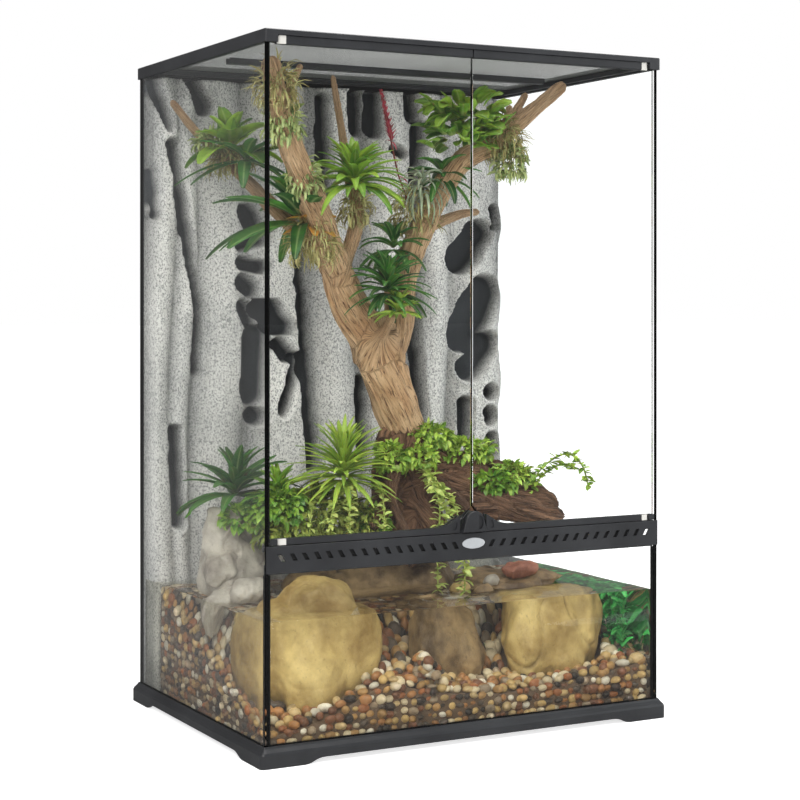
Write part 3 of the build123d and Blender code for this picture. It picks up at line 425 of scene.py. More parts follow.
def stoneFinish(name, plan):
    finish, tree, shader = newMaterial(name)
    grain = useGroup(
        tree, "speckle", Vector=objectPlace(tree), Patch_Scale=plan["patch"], Speck_Scale=220.0)
    tone = rangeNode(tree, grain["Patches"], 0.36, 0.64)
    body = mixColour(tree, tone, plan["dark"], plan["light"])
    # Painted shade: deep darkens the creases and dips of each stone.
    hollow = rangeNode(tree, attributeNode(tree, "deep")["Fac"], 0.3, 1.0, 0, 0.85)
    body = mixColour(tree, hollow, body, plan["veinAndShade"])
    speck = rangeNode(tree, grain["Specks"], 0.6, 0.7, 0, 0.35)
    body = mixColour(tree, speck, body, plan["veinAndShade"])
    setInputs(tree, shader, Base_Color=body, Roughness=plan["roughness"])
    bump(tree, shader, grain["Height"], 0.35, 0.0016)
    return finish


# Wood
woodTones = {
    "driftwood": {"dark": (0.11, 0.042, 0.014), "middle": (0.50, 0.26, 0.11), "light": (0.88, 0.62, 0.36),
                  "roughness": 0.62},
    "darkRoot": {"dark": (0.010, 0.006, 0.004), "middle": (0.10, 0.040, 0.018), "light": (0.36, 0.19, 0.10),
                 "roughness": 0.75},
}


def woodFinish(name, plan):
    finish, tree, shader = newMaterial(name)
    place = objectPlace(tree)
    grain = useGroup(tree, "grain", Along=attributeNode(tree, "along")["Vector"], Place=place)
    patch = useGroup(tree, "speckle", Vector=place, Patch_Scale=11.0, Speck_Scale=260.0)
    streaks = rangeNode(tree, grain["Streaks"], 0.32, 0.66)
    body = mixColour(tree, streaks, plan["middle"], plan["light"])
    stainAndShade = rangeNode(tree, patch["Patches"], 0.50, 0.68, 0, 0.7)
    body = mixColour(tree, stainAndShade, body, plan["middle"])
    cracks = rangeNode(tree, grain["Cracks"], 0.48, 0.37, 0, 0.95)
    body = mixColour(tree, cracks, body, plan["dark"])
    setInputs(tree, shader, Base_Color=body, Roughness=plan["roughness"])
    bump(tree, shader, grain["Height"], 0.9, 0.009)
    return finish


# Pebbles, each with its own tone
pebbleTones = {"pebbles": {"spot": (0.16, 0.10, 0.06), "roughness": 0.33}}


def pebbleFinish(name, plan):
    finish, tree, shader = newMaterial(name)
    tone = attributeNode(tree, "tone")["Color"]
    grain = useGroup(tree, "speckle", Vector=objectPlace(tree), Patch_Scale=120.0, Speck_Scale=900.0)
    spot = rangeNode(tree, grain["Patches"], 0.52, 0.72, 0, 0.4)
    setInputs(
        tree, shader, Base_Color=mixColour(tree, spot, tone, plan["spot"]), Roughness=plan["roughness"])
    bump(tree, shader, grain["Specks"], 0.12, 0.0006)
    return finish


# Leaves and moss: two tones, and the colour at a leaf's base
leafTones = {
    "brightLeaf": {"dark": (0.055, 0.18, 0.010), "light": (0.33, 0.54, 0.05), "base": (0.55, 0.60, 0.22)},
    "darkLeaf": {"dark": (0.010, 0.062, 0.010), "light": (0.07, 0.24, 0.030), "base": (0.25, 0.33, 0.10)},
    "limeLeaf": {"dark": (0.11, 0.24, 0.012), "light": (0.50, 0.68, 0.09), "base": (0.50, 0.52, 0.16)},
    "strawLeaf": {"dark": (0.22, 0.18, 0.05), "light": (0.58, 0.52, 0.22), "base": (0.45, 0.32, 0.12),
                  "roughness": 0.7},
    "silverLeaf": {"dark": (0.20, 0.27, 0.16), "light": (0.52, 0.58, 0.42), "base": (0.45, 0.42, 0.28),
                   "roughness": 0.7},
    "mossLeaf": {"dark": (0.09, 0.13, 0.012), "light": (0.42, 0.48, 0.08), "base": (0.22, 0.22, 0.04),
                 "roughness": 0.8},
    "paleMoss": {"dark": (0.18, 0.24, 0.06), "light": (0.50, 0.56, 0.24), "base": (0.30, 0.28, 0.12),
                 "roughness": 0.8},
    "paleLeaf": {"dark": (0.28, 0.38, 0.05), "light": (0.72, 0.80, 0.24), "base": (0.50, 0.52, 0.16)},
    "redLeaf": {"dark": (0.20, 0.012, 0.03), "light": (0.55, 0.05, 0.10), "base": (0.25, 0.12, 0.05)},
    "waterLeaf": {"dark": (0.01, 0.16, 0.03), "light": (0.06, 0.58, 0.12), "base": (0.08, 0.36, 0.10)},
    "redBase": {"dark": (0.30, 0.10, 0.02), "light": (0.75, 0.42, 0.05), "base": (0.45, 0.04, 0.02)},
}
leafRib = (0.5, 0.6, 0.25)


def leafFinish(name, plan):
    finish, tree, shader = newMaterial(name)
    leaf = attributeNode(tree, "leaf")["Vector"]
    tint = useGroup(
        tree, "leafTint", Leaf=leaf, Place=objectPlace(tree),
        Dark=plan["dark"], Light=plan["light"], Base=plan["base"], Rib=leafRib)
    setInputs(
        tree, shader, Base_Color=tint["Color"], Roughness=plan.get("roughness", 0.42),
        Subsurface_Weight=0.12, Subsurface_Scale=0.004)
    bump(tree, shader, tint["Height"], 0.4, 0.0008)
    return finish


finishes = {}
for makeFinish, plans in (
    (plasticFinish, plasticTones), (glassFinish, clearTones), (screenFinish, screenWeaves),
    (foamFinish, foamTones), (stoneFinish, stoneTones), (woodFinish, woodTones),
    (pebbleFinish, pebbleTones), (leafFinish, leafTones),
):
    for name, plan in plans.items():
        finishes[name] = makeFinish(name, plan)
print("finishes ready")


# How every piece is made
scratch = bpy.data.meshes.new("scratch")


def addPiece(name, bm, finish, standsFor=(), smooth=True, body="tank"):
    mesh = bpy.data.meshes.new(name)
    bm.to_mesh(mesh)
    bm.free()
    piece = bpy.data.objects.new(name, mesh)
    scene.collection.objects.link(piece)
    mesh.materials.append(finishes[finish])
    if smooth:
        mesh.shade_smooth()
    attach(piece, body)
    if standsFor:
        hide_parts(*standsFor)
    return piece


def newShape(layer, kind):
    # A small mesh with one vertex layer, to be shaped and then joined to a large one.
    small = bmesh.new()
    return small, getattr(small.verts.layers, kind).new(layer)


def joinShape(bm, small):
    small.to_mesh(scratch)
    small.free()
    bm.from_mesh(scratch)


def closeSheet(bm, axis, level):
    # Draws a sheet's rim out to one level and closes the far side.
    rim = [edge for edge in bm.edges if edge.is_boundary]
    grown = bmesh.ops.extrude_edge_only(bm, edges=rim)
    border = [item for item in grown["geom"] if isinstance(item, bmesh.types.BMVert)]
    for vert in border:
        vert.co[axis] = level
    bmesh.ops.holes_fill(bm, edges=[edge for edge in bm.edges if edge.is_boundary], sides=0)
    bmesh.ops.recalc_face_normals(bm, faces=bm.faces)


def smoothStep(value):
    value = min(max(value, 0.0), 1.0)
    return value * value * (3 - 2 * value)


# The CAD pieces that stay in view: frame, glass, doors, latch and lid
slotFinish = {
    "glass": "floatGlass", "black_plastic": "blackPlastic", "silicone": "silicone", "screen": "ventScreen",
    "badge": "badge", "nylon": "nylon", "foam": "rockFoam", "gravel": "pebbles", "sandstone": "sandstone",
    "brown_rock": "brownRock", "grey_rock": "greyRock", "driftwood": "driftwood", "dark_wood": "darkRoot",
    "moss": "mossLeaf", "leaf": "darkLeaf",
}
for part in frame["record"]["subparts"]:
    node = frame["nodes"][part["node"]]
    node.data.materials.clear()
    node.data.materials.append(finishes[slotFinish[part["material_slot"]]])
print("frame, glass and doors finished")

# The lid's fine screen, which sags a little
lidScreen = {
    "low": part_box("lid_mesh")[0],
    "high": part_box("lid_mesh")[1],
    "columns": 60,
    "rows": 40,
    "sag": 0.0006,
    "thick": 0.0004,
}


def buildLidScreen(plan):
    low, high = Vector(plan["low"]), Vector(plan["high"])
    bm = bmesh.new()
    bmesh.ops.create_grid(bm, x_segments=plan["columns"], y_segments=plan["rows"], size=0.5)
    for vert in bm.verts:
        wave = noise.noise(Vector((vert.co.x * 9, vert.co.y * 6, 1.7)))
        slack = math.cos(vert.co.x * math.pi) * math.cos(vert.co.y * math.pi)
        x = low.x + (vert.co.x + 0.5) * (high.x - low.x)
        y = low.y + (vert.co.y + 0.5) * (high.y - low.y)
        vert.co = Vector((x, y, high.z - plan["sag"] * (0.5 - 0.5 * wave) * slack))
    sheet = addPiece("lidScreen", bm, "wovenScreen", ("lid_mesh",), body="lid")
    body = sheet.modifiers.new("thickness", "SOLIDIFY")
    body.thickness = plan["thick"]
    body.offset = 1


buildLidScreen(lidScreen)
print("lid screen ready")

# The foam background: ribs are (middle, half width), slots (lower end, upper end, half width)
panel = {
    "width": 0.5745,
    "low": 0.0236,
    "high": 0.8835,
    "front": 0.175,
    "back": 0.2126,
    "floor": 0.2005,        # how far back the slots reach
    "edge": 0.008,          # how softly a slot's wall falls
    "margin": 0.024,        # how far a slot changes the face beside it
    "lip": 0.003,
    "ribHeight": 0.015,
    "ribSway": 0.008,
    "roughness": 0.0025,
    "brokenEdge": 0.016,    # how far the scallops of the right edge stand back
    "scallop": 0.006,
    "columns": 190,
    "rows": 290,
    "ribs": [
        (-0.275, 0.02), (-0.243, 0.016), (-0.19, 0.04), (-0.1, 0.05),
        (-0.005, 0.036), (0.075, 0.04), (0.155, 0.026), (0.225, 0.05),
    ],
    "slots": [
        ((-0.265, 0.814), (-0.287, 0.880), 0.006), ((-0.236, 0.642), (-0.262, 0.790), 0.0075),
        ((-0.221, 0.557), (-0.236, 0.642), 0.0075), ((-0.225, 0.472), (-0.221, 0.557), 0.006),
        ((-0.213, 0.845), (-0.234, 0.886), 0.010), ((-0.282, 0.691), (-0.287, 0.754), 0.005),
        ((-0.251, 0.255), (-0.257, 0.387), 0.008), ((-0.156, 0.649), (-0.124, 0.658), 0.008),
        ((-0.157, 0.626), (-0.124, 0.618), 0.009), ((-0.153, 0.597), (-0.139, 0.586), 0.011),
        ((-0.153, 0.563), (-0.142, 0.539), 0.010), ((-0.137, 0.438), (-0.134, 0.519), 0.018),
        ((-0.121, 0.563), (-0.097, 0.531), 0.018), ((-0.101, 0.507), (-0.089, 0.493), 0.011),
        ((-0.094, 0.410), (-0.073, 0.487), 0.008), ((-0.134, 0.406), (-0.131, 0.403), 0.011),
        ((-0.148, 0.700), (-0.131, 0.672), 0.014), ((-0.044, 0.330), (-0.064, 0.577), 0.011),
        ((-0.064, 0.577), (-0.073, 0.717), 0.010), ((0.038, 0.330), (0.035, 0.452), 0.008),
        ((0.025, 0.827), (0.025, 0.873), 0.013), ((0.057, 0.825), (0.055, 0.878), 0.012),
        ((0.120, 0.850), (0.118, 0.880), 0.010), ((0.128, 0.783), (0.132, 0.832), 0.011),
        ((0.087, 0.797), (0.099, 0.791), 0.006), ((0.125, 0.715), (0.125, 0.765), 0.010),
        ((-0.025, 0.733), (-0.028, 0.866), 0.010), ((0.128, 0.481), (0.120, 0.586), 0.009),
        ((0.140, 0.300), (0.128, 0.481), 0.009), ((0.268, 0.689), (0.266, 0.711), 0.008),
        ((0.203, 0.636), (0.234, 0.672), 0.024), ((0.211, 0.522), (0.244, 0.579), 0.031),
        ((0.219, 0.467), (0.250, 0.502), 0.021), ((0.255, 0.431), (0.257, 0.428), 0.011),
        ((0.255, 0.397), (0.257, 0.389), 0.011), ((0.211, 0.360), (0.212, 0.412), 0.011),
        ((0.259, 0.355), (0.261, 0.332), 0.012),
    ],
}


def ribRise(plan, x, z):
    # 1 on the back of a rib, 0 between ribs.
    rise = 0
    for middle, half in plan["ribs"]:
        sway = plan["ribSway"] * math.sin(z / 0.12 + middle / 0.055)
        offset = (x - middle - sway) / half
        if abs(offset) < 1:
            rise = max(rise, math.cos(math.radians(90 * offset)) ** 0.7)
    return rise


def slotShape(plan, slots, x, z):
    # How deep a slot is there, from 0 to 1, and how high the lips beside slots stand.
    place = Vector((x, z))
    hollow = 0
    lips = 0
    for low, high, half in slots:
        reach = half + plan["margin"]
        if not low.y - reach < z < high.y + reach:
            continue
        if not min(low.x, high.x) - reach < x < max(low.x, high.x) + reach:
            continue
        run = high - low
        share = min(max((place - low).dot(run) / run.length_squared, 0), 1)
        away = (place - low - run * share).length
        away += 0.0035 * noise.noise(Vector((x * 45, z * 45, 0.7)))
        hollow = max(hollow, smoothStep((half - away) / plan["edge"] + 0.5))
        lips += plan["lip"] * math.exp(-((away - half - 0.004) / 0.006) ** 2)
    return hollow, lips


def buildPanel(plan):
    slots = [(Vector(low), Vector(high), half) for low, high, half in plan["slots"]]
    bm = bmesh.new()
    bmesh.ops.create_grid(bm, x_segments=plan["columns"], y_segments=plan["rows"], size=0.5)
    deep = bm.verts.layers.float.new("deep")
    for vert in bm.verts:
        x = vert.co.x * plan["width"]
        z = plan["low"] + (vert.co.y + 0.5) * (plan["high"] - plan["low"])
        rise = ribRise(plan, x, z)
        hollow, lips = slotShape(plan, slots, x, z)
        rough = plan["roughness"] * noise.noise(Vector((x * 30, z * 12, 3.1)))
        y = plan["front"] - plan["ribHeight"] * rise + rough - lips
        y += (plan["floor"] - y) * hollow
        side = plan["width"] / 2 - abs(x)
        bite = plan["scallop"] + 0.005 * math.sin(z / 0.019)
        if x > 0 and side < bite + 2 * plan["scallop"]:
            fall = (side - bite + plan["scallop"]) / (2 * plan["scallop"])
            y += plan["brokenEdge"] * (1 - smoothStep(fall))
        vert.co = Vector((x, min(y, plan["floor"]), z))
        # Painted shade: deep is high in the slots and in the valleys between ribs, where the colour darkens.
        vert[deep] = max(hollow, 0.48 * (1 - rise))
    closeSheet(bm, 1, plan["back"])
    addPiece("foamBackground", bm, "rockFoam", ("background_panel",))


buildPanel(panel)
print("background ready")


# Boulders and slabs
def meltTogether(bm, voxel, rounds):
    # Joins overlapping forms into one skin.
    mesh = bpy.data.meshes.new("melt")
    bm.to_mesh(mesh)
    bm.free()
    holder = bpy.data.objects.new("melt", mesh)
    scene.collection.objects.link(holder)
    joint = holder.modifiers.new("melt", "REMESH")
    joint.mode = "VOXEL"
    joint.voxel_size = voxel
    melted = holder.evaluated_get(bpy.context.evaluated_depsgraph_get())
    skin = bpy.data.meshes.new_from_object(melted)
    bpy.data.objects.remove(holder)
    made = bmesh.new()
    made.from_mesh(skin)
    for _ in range(rounds):
        bmesh.ops.smooth_vert(
            made, verts=made.verts, factor=0.5, use_axis_x=True, use_axis_y=True, use_axis_z=True)
    return made


def addLump(bm, middle, radii, corners, dice):
    # A rock from the hull of points spread over an ellipsoid.
    small = bmesh.new()
    for number in range(corners):
        height = 1 - 2 * (number + 0.5) / corners
        angle = number * 2.4 + dice.uniform(-0.35, 0.35)
        level = math.sqrt(1 - height * height)
        spot = Vector((level * math.cos(angle), level * math.sin(angle), height)) * dice.uniform(0.96, 1.14)
        small.verts.new(Vector(middle) + spot * Vector(radii))
    hull = bmesh.ops.convex_hull(small, input=small.verts)
    inner = [item for item in hull["geom_interior"] if isinstance(item, bmesh.types.BMVert)]
    bmesh.ops.delete(small, geom=inner, context="VERTS")
    joinShape(bm, small)


stoneSkin = {"scale": 14, "swell": 0.0042, "pits": 0.0018, "sharpness": 16}


def addBoulder(name, plan):
    # Lobes are given in shares of the radii: middle, then half sizes.
    middle = Vector(plan["middle"])
    radii = Vector(plan["radii"])
    dice = random.Random(int(plan["seed"] * 10))
    bm = bmesh.new()
    for place, size in plan["lobes"]:
        addLump(bm, middle + Vector(place) * radii, Vector(size) * radii, plan["corners"], dice)
    bm = meltTogether(bm, plan["voxel"], plan["rounds"])
    deep = bm.verts.layers.float.new("deep")
    bm.normal_update()
    shift = Vector((plan["seed"], plan["seed"] * 1.7, plan["seed"] * 0.6))
    moves = []
    for vert in bm.verts:
        place = vert.co * stoneSkin["scale"] + shift
        broad = noise.noise(place * 1.3) + 0.5 * noise.noise(place * 3.1)
        fold = abs(noise.noise(place * plan["folds"] + shift * 2))
        crack = max(0, 1 - fold * stoneSkin["sharpness"])
        crack *= max(0, min(1, 1.6 * noise.noise(place * 0.8 - shift) + 0.4))
        fine = noise.fractal(place * 3.4, 0.8, 2.1, 5)
        # Painted shade: deep is high in the creases and where the surface dips.
        vert[deep] = min(1, max(0.6 * crack + plan["stainAndShade"] * max(0, -broad - 0.1), 0))
        rise = stoneSkin["swell"] * broad + stoneSkin["pits"] * fine - plan["crease"] * crack
        moves.append(vert.normal * rise)
    for vert, move in zip(bm.verts, moves):
        vert.co += move
    addPiece(name, bm, plan["finish"], plan["node"])


# Each stone's dips are darkened with painted shade, by the amount listed for it.
boulders = {
    "yellowStone": {
        "middle": (-0.185, -0.118, 0.122), "radii": (0.092, 0.068, 0.092),
        "seed": 1.2, "folds": 1.1, "crease": 0.003, "stainAndShade": 0.9, "corners": 34, "voxel": 0.003, "rounds": 9,
        "finish": "sandstone", "slot": "sandstone", "node": ("yellow_boulder",),
        "lobes": [
            ((0, 0.05, -0.1), (0.9, 0.85, 0.84)), ((0.1, 0.05, 0.5), (0.6, 0.7, 0.5)),
            ((0.48, -0.25, 0.0), (0.42, 0.62, 0.62)), ((-0.15, -0.4, -0.3), (0.5, 0.56, 0.62)),
            ((-0.55, 0, 0.05), (0.4, 0.7, 0.66)), ((0.2, -0.3, 0.32), (0.42, 0.45, 0.42)),
        ],
    },
    "middleStone": {
        "middle": (0.008, -0.092, 0.092), "radii": (0.056, 0.05, 0.057),
        "seed": 4.4, "folds": 2.2, "crease": 0.0034, "stainAndShade": 1.2, "corners": 30, "voxel": 0.0022,
        "rounds": 4,
        "finish": "brownRock", "slot": "brown_rock", "node": ("dark_boulder",),
        "lobes": [
            ((0, 0, 0), (0.9, 0.9, 0.92)), ((0.4, -0.3, -0.1), (0.56, 0.62, 0.72)),
            ((-0.45, -0.1, -0.2), (0.5, 0.7, 0.62)), ((-0.1, 0, 0.5), (0.6, 0.7, 0.48)),
        ],
    },
    "rightStone": {
        "middle": (0.168, -0.112, 0.104), "radii": (0.087, 0.063, 0.066),
        "seed": 7.7, "folds": 1.1, "crease": 0.003, "stainAndShade": 0.9, "corners": 34, "voxel": 0.003, "rounds": 9,
        "finish": "sandstone", "slot": "sandstone", "node": ("tan_boulder",),
        "lobes": [
            ((0, 0.05, 0), (0.88, 0.88, 0.9)), ((-0.42, -0.25, -0.15), (0.52, 0.62, 0.74)),
            ((0.5, 0, 0.18), (0.46, 0.7, 0.72)), ((0.1, -0.35, -0.4), (0.42, 0.5, 0.5)),
            ((-0.1, 0, 0.5), (0.6, 0.7, 0.48)),
        ],
    },
    "hiddenStone": {
        "middle": (-0.02, 0.044, 0.128), "radii": (0.15, 0.078, 0.096),
        "seed": 3.9, "folds": 1.4, "crease": 0.005, "stainAndShade": 1.0, "corners": 40, "voxel": 0.004, "rounds": 3,
        "finish": "brownRock", "slot": "brown_rock", "node": ("core_rock",),
        "lobes": [
            ((0, 0, 0), (0.9, 0.9, 0.95)), ((-0.5, -0.1, 0.3), (0.42, 0.8, 0.6)),
            ((0.5, -0.1, 0.3), (0.42, 0.8, 0.6)),
        ],
    },
    "paleRock": {
        "middle": (-0.224, 0.05, 0.212), "radii": (0.055, 0.07, 0.088),
        "seed": 5.1, "folds": 1.6, "crease": 0.003, "stainAndShade": 0.9, "corners": 15, "voxel": 0.0024, "rounds": 1,
        "finish": "greyRock", "slot": "grey_rock", "node": ("grey_rock",),
        "lobes": [
            ((0, 0, -0.1), (0.86, 0.9, 0.8)), ((-0.3, -0.3, 0.45), (0.55, 0.55, 0.48)),
            ((0.35, 0.1, 0.4), (0.5, 0.62, 0.46)), ((-0.2, -0.5, -0.2), (0.62, 0.42, 0.5)),
            ((0.3, -0.45, -0.45), (0.5, 0.42, 0.42)),
        ],
    },
    "shoreSlab": {
        "middle": (0.15, -0.06, 0.178), "radii": (0.086, 0.062, 0.018),
        "seed": 9.3, "folds": 1.6, "crease": 0.002, "stainAndShade": 0.8, "corners": 30, "voxel": 0.0022, "rounds": 2,
        "finish": "brownRock", "slot": "grey_rock", "node": ("shore_slab",),
        "lobes": [
            ((0, 0, -0.2), (0.94, 0.94, 0.75)), ((-0.4, 0.1, 0.3), (0.5, 0.7, 0.6)),
            ((0.45, -0.1, 0.2), (0.45, 0.7, 0.6)),
        ],
    },
}
# Loose stones along the shore, each a middle, its radii and a finish
shoreStones = {
    "folds": 1.8, "crease": 0.0012, "stainAndShade": 0.7, "corners": 16, "voxel": 0.0020, "rounds": 2,
    "slot": "grey_rock", "node": (),
    "lobes": [
        ((0, 0, 0), (0.9, 0.9, 0.85)), ((0.35, 0.1, 0.2), (0.6, 0.75, 0.7)),
        ((-0.4, -0.15, -0.1), (0.55, 0.75, 0.75)),
    ],
    "stones": [
        ((-0.012, -0.118, 0.166), (0.022, 0.016, 0.012), "brownRock"),
        ((0.026, -0.130, 0.163), (0.020, 0.015, 0.012), "greyRock"),
        ((0.052, -0.094, 0.176), (0.017, 0.014, 0.013), "sandstone"),
        ((0.078, -0.112, 0.172), (0.016, 0.013, 0.011), "brownRock"),
        ((0.100, -0.096, 0.184), (0.014, 0.012, 0.010), "greyRock"),
        ((0.148, -0.094, 0.197), (0.034, 0.022, 0.014), "redRock"),
        ((-0.262, -0.02, 0.158), (0.030, 0.034, 0.040), "greyRock"),
        ((-0.252, 0.012, 0.214), (0.028, 0.034, 0.030), "greyRock"),
        ((-0.236, -0.045, 0.188), (0.030, 0.026, 0.022), "greyRock"),
    ],
}


def buildShoreStones(plan):
    for number, (middle, radii, finish) in enumerate(plan["stones"]):
        stone = {"middle": middle, "radii": radii, "finish": finish, "seed": 2.7 + number * 3.1}
        addBoulder("shoreStone" + str(number), {**plan, **stone})


for name, plan in boulders.items():
    addBoulder(name, plan)
buildShoreStones(shoreStones)
print("stones ready")

# The gravel slopes up from the front pane to a crest, and on to the panel
gravel = {
    "reach": 0.2876,
    "front": -0.2123,
    "crest": -0.02,
    "back": 0.152,
    "frontHeights": [0.038, 0.053, 0.090, 0.070, 0.061, 0.064, 0.072, 0.084],
    "backHeights": [0.172, 0.160, 0.145, 0.130, 0.120, 0.115, 0.112, 0.110],
    "crown": 0.006,         # how far the crest stands above the mean of front and back
    "bottom": 0.0285,
    "pebble": 0.0066,
    "spacing": 1.75,        # from pebble to pebble, in pebble radii
    "loose": 1.22,          # how much further apart the top ones lie
    "heap": {"count": 150, "x": -0.052, "y": 0.040, "top": 0.108, "wide": 0.018, "deep": 0.010},
    # The core's dark tone is painted shade, seen in the gaps between pebbles.
    "core": {"columns": 36, "rows": 26, "inset": 0.006, "floor": 0.0240, "tone": (0.16, 0.10, 0.06, 1)},
    "tones": [
        (0.62, 0.44, 0.22), (0.48, 0.27, 0.10), (0.36, 0.13, 0.045), (0.76, 0.62, 0.42),
        (0.88, 0.80, 0.68), (0.24, 0.10, 0.05), (0.045, 0.032, 0.025), (0.38, 0.28, 0.19),
        (0.60, 0.40, 0.16), (0.44, 0.20, 0.07), (0.12, 0.09, 0.07),
    ],
}


def gravelHeight(plan, x, y):
    spans = len(plan["frontHeights"]) - 1
    share = (x + plan["reach"]) / (2 * plan["reach"]) * spans
    step = min(max(int(share), 0), spans - 1)
    blend = min(max(share - step, 0), 1)
    front = plan["frontHeights"][step] * (1 - blend) + plan["frontHeights"][step + 1] * blend
    back = plan["backHeights"][step] * (1 - blend) + plan["backHeights"][step + 1] * blend
    middle = (front + back) / 2 + plan["crown"]
    if y < plan["crest"]:
        part = (y - plan["front"]) / (plan["crest"] - plan["front"])
        return front + (middle - front) * part
    part = (y - plan["crest"]) / (plan["back"] - plan["crest"])
    return middle + (back - middle) * part


def insideStone(place):
    for plan in boulders.values():
        away = Vector([(place[i] - plan["middle"][i]) / plan["radii"][i] for i in range(3)])
        if away.length < 0.97:
            return True
    return False


def addPebble(bm, tones, place, size, dice):
    turn = Matrix.Rotation(dice.uniform(0, 6.28), 3, "Z") @ Matrix.Rotation(dice.uniform(-0.6, 0.6), 3, "X")
    flat = Vector((dice.uniform(0.85, 1.45), dice.uniform(0.75, 1.1), dice.uniform(0.55, 0.9)))
    middle = Vector(place)
    small, tone = newShape("tone", "float_color")
    stand = Matrix.LocRotScale(middle, turn, flat * size)
    bmesh.ops.create_icosphere(small, subdivisions=2, radius=1, matrix=stand)
    colour = dice.choice(tones)
    shade = dice.uniform(0.7, 1.1)
    for vert in small.verts:
        vert.co += (vert.co - middle) * 0.10 * noise.noise(vert.co * 90)
        vert[tone] = (colour[0] * shade, colour[1] * shade, colour[2] * shade, 1)
    joinShape(bm, small)


def packFront(bm, plan, dice, step):
    # Pebbles stacked against the front pane.
    size = plan["pebble"]
    x = -plan["reach"] + size
    while x < plan["reach"] - size:
        z = plan["bottom"]
        while z < gravelHeight(plan, x, plan["front"]) - 0.003:
            across = x + dice.uniform(-0.3, 0.3) * step
            place = (across, plan["front"] + size * dice.uniform(0.95, 1.5), z)
            addPebble(bm, plan["tones"], place, size * dice.uniform(0.75, 1.25), dice)
            z += step * dice.uniform(0.75, 1.0)
        x += step


def packSide(bm, plan, dice, step, side):
    # Pebbles stacked against one side pane.
    size = plan["pebble"]
    y = plan["front"] + size * 2
    while y < plan["back"] - size:
        z = plan["bottom"]
        while z < gravelHeight(plan, side * plan["reach"], y) - 0.003:
            across = side * (plan["reach"] - size * dice.uniform(0.95, 1.5))
            place = (across, y + dice.uniform(-0.3, 0.3) * step, z)
            addPebble(bm, plan["tones"], place, size * dice.uniform(0.8, 1.3), dice)
            z += step * dice.uniform(0.8, 1.05)
        y += step * 1.08


def spreadTop(bm, plan, dice, step):
    # Pebbles over the slope, where no stone stands.
    size = plan["pebble"]
    x = -plan["reach"] + size
    while x < plan["reach"] - size:
        y = plan["front"] + size * 2
        while y < plan["back"] - size:
            z = gravelHeight(plan, x, y)
            if not insideStone((x, y, z)):
                place = (x + dice.uniform(-0.4, 0.4) * step, y, z - size * 0.2)
                addPebble(bm, plan["tones"], place, size * dice.uniform(0.85, 1.35), dice)
            y += step * plan["loose"]
        x += step * plan["loose"]


def addHeap(bm, plan, dice):
    # The loose heap between the yellow and the middle stone.
    heap = plan["heap"]
    for _ in range(heap["count"]):
        spread = dice.gauss(0, heap["wide"])
        y = plan["front"] + heap["y"] + dice.gauss(0, heap["deep"])
        place = (heap["x"] + spread, y, heap["top"] - abs(spread) * 0.9 - dice.uniform(0, 0.022))
        addPebble(bm, plan["tones"], place, plan["pebble"] * dice.uniform(0.9, 1.3), dice)


def buildGravelCore(plan):
    # The plain bed under the pebbles; its dark tone is painted shade in the gaps between them.
    core = plan["core"]
    bm = bmesh.new()
    bmesh.ops.create_grid(bm, x_segments=core["columns"], y_segments=core["rows"], size=0.5)
    tone = bm.verts.layers.float_color.new("tone")
    for vert in bm.verts:
        x = vert.co.x * 2 * (plan["reach"] - core["inset"])
        middle = (plan["front"] + plan["back"]) / 2
        y = middle + vert.co.y * (plan["back"] - plan["front"] - 2 * core["inset"])
        vert.co = Vector((x, y, gravelHeight(plan, x, y) - core["inset"]))
    closeSheet(bm, 2, core["floor"])
    for vert in bm.verts:
        vert[tone] = core["tone"]
    addPiece("gravelCore", bm, "pebbles", smooth=False)


def buildGravel(plan):
    dice = random.Random(11)
    bm = newShape("tone", "float_color")[0]
    step = plan["pebble"] * plan["spacing"]
    packFront(bm, plan, dice, step)
    for side in (-1, 1):
        packSide(bm, plan, dice, step, side)
    spreadTop(bm, plan, dice, step)
    addHeap(bm, plan, dice)
    print("pebble faces", len(bm.faces))
    addPiece("pebbleBed", bm, "pebbles", ("gravel_bed",))
    buildGravelCore(plan)


buildGravel(gravel)
print("gravel ready")


# Driftwood and roots
def splinePlaces(points, step):
    # Evenly spread places on a smooth line through points given in millimetres.
    points = [Vector(p) / 1000 for p in points]
    padded = [points[0] * 2 - points[1]] + points + [points[-1] * 2 - points[-2]]
    places = []
    for index in range(1, len(padded) - 2):
        a, b, c, d = padded[index - 1:index + 3]
        count = max(2, int((c - b).length / step))
        for part in range(count):
            t = part / count
            bend = (2 * a - 5 * b + 4 * c - d) * t * t
            twist = (3 * b - 3 * c + d - a) * t * t * t
            places.append(0.5 * ((2 * b) + (c - a) * t + bend + twist))
    places.append(points[-1])
    return places


def addRod(bm, start, end, startRadius, endRadius, segments, overlap):
    # A cone between two places, a little longer than the gap.
    run = end - start
    turn = run.to_track_quat("Z", "Y").to_matrix().to_4x4()
    bmesh.ops.create_cone(
        bm, cap_ends=True, segments=segments, radius1=startRadius, radius2=endRadius,
        depth=run.length * overlap, matrix=Matrix.Translation((start + end) / 2) @ turn)


limbMake = {"step": 0.009, "sides": 14, "overlap": 1.15, "uneven": 0.09}
thinLimb = 0.02     # limbs under this radius are carved less


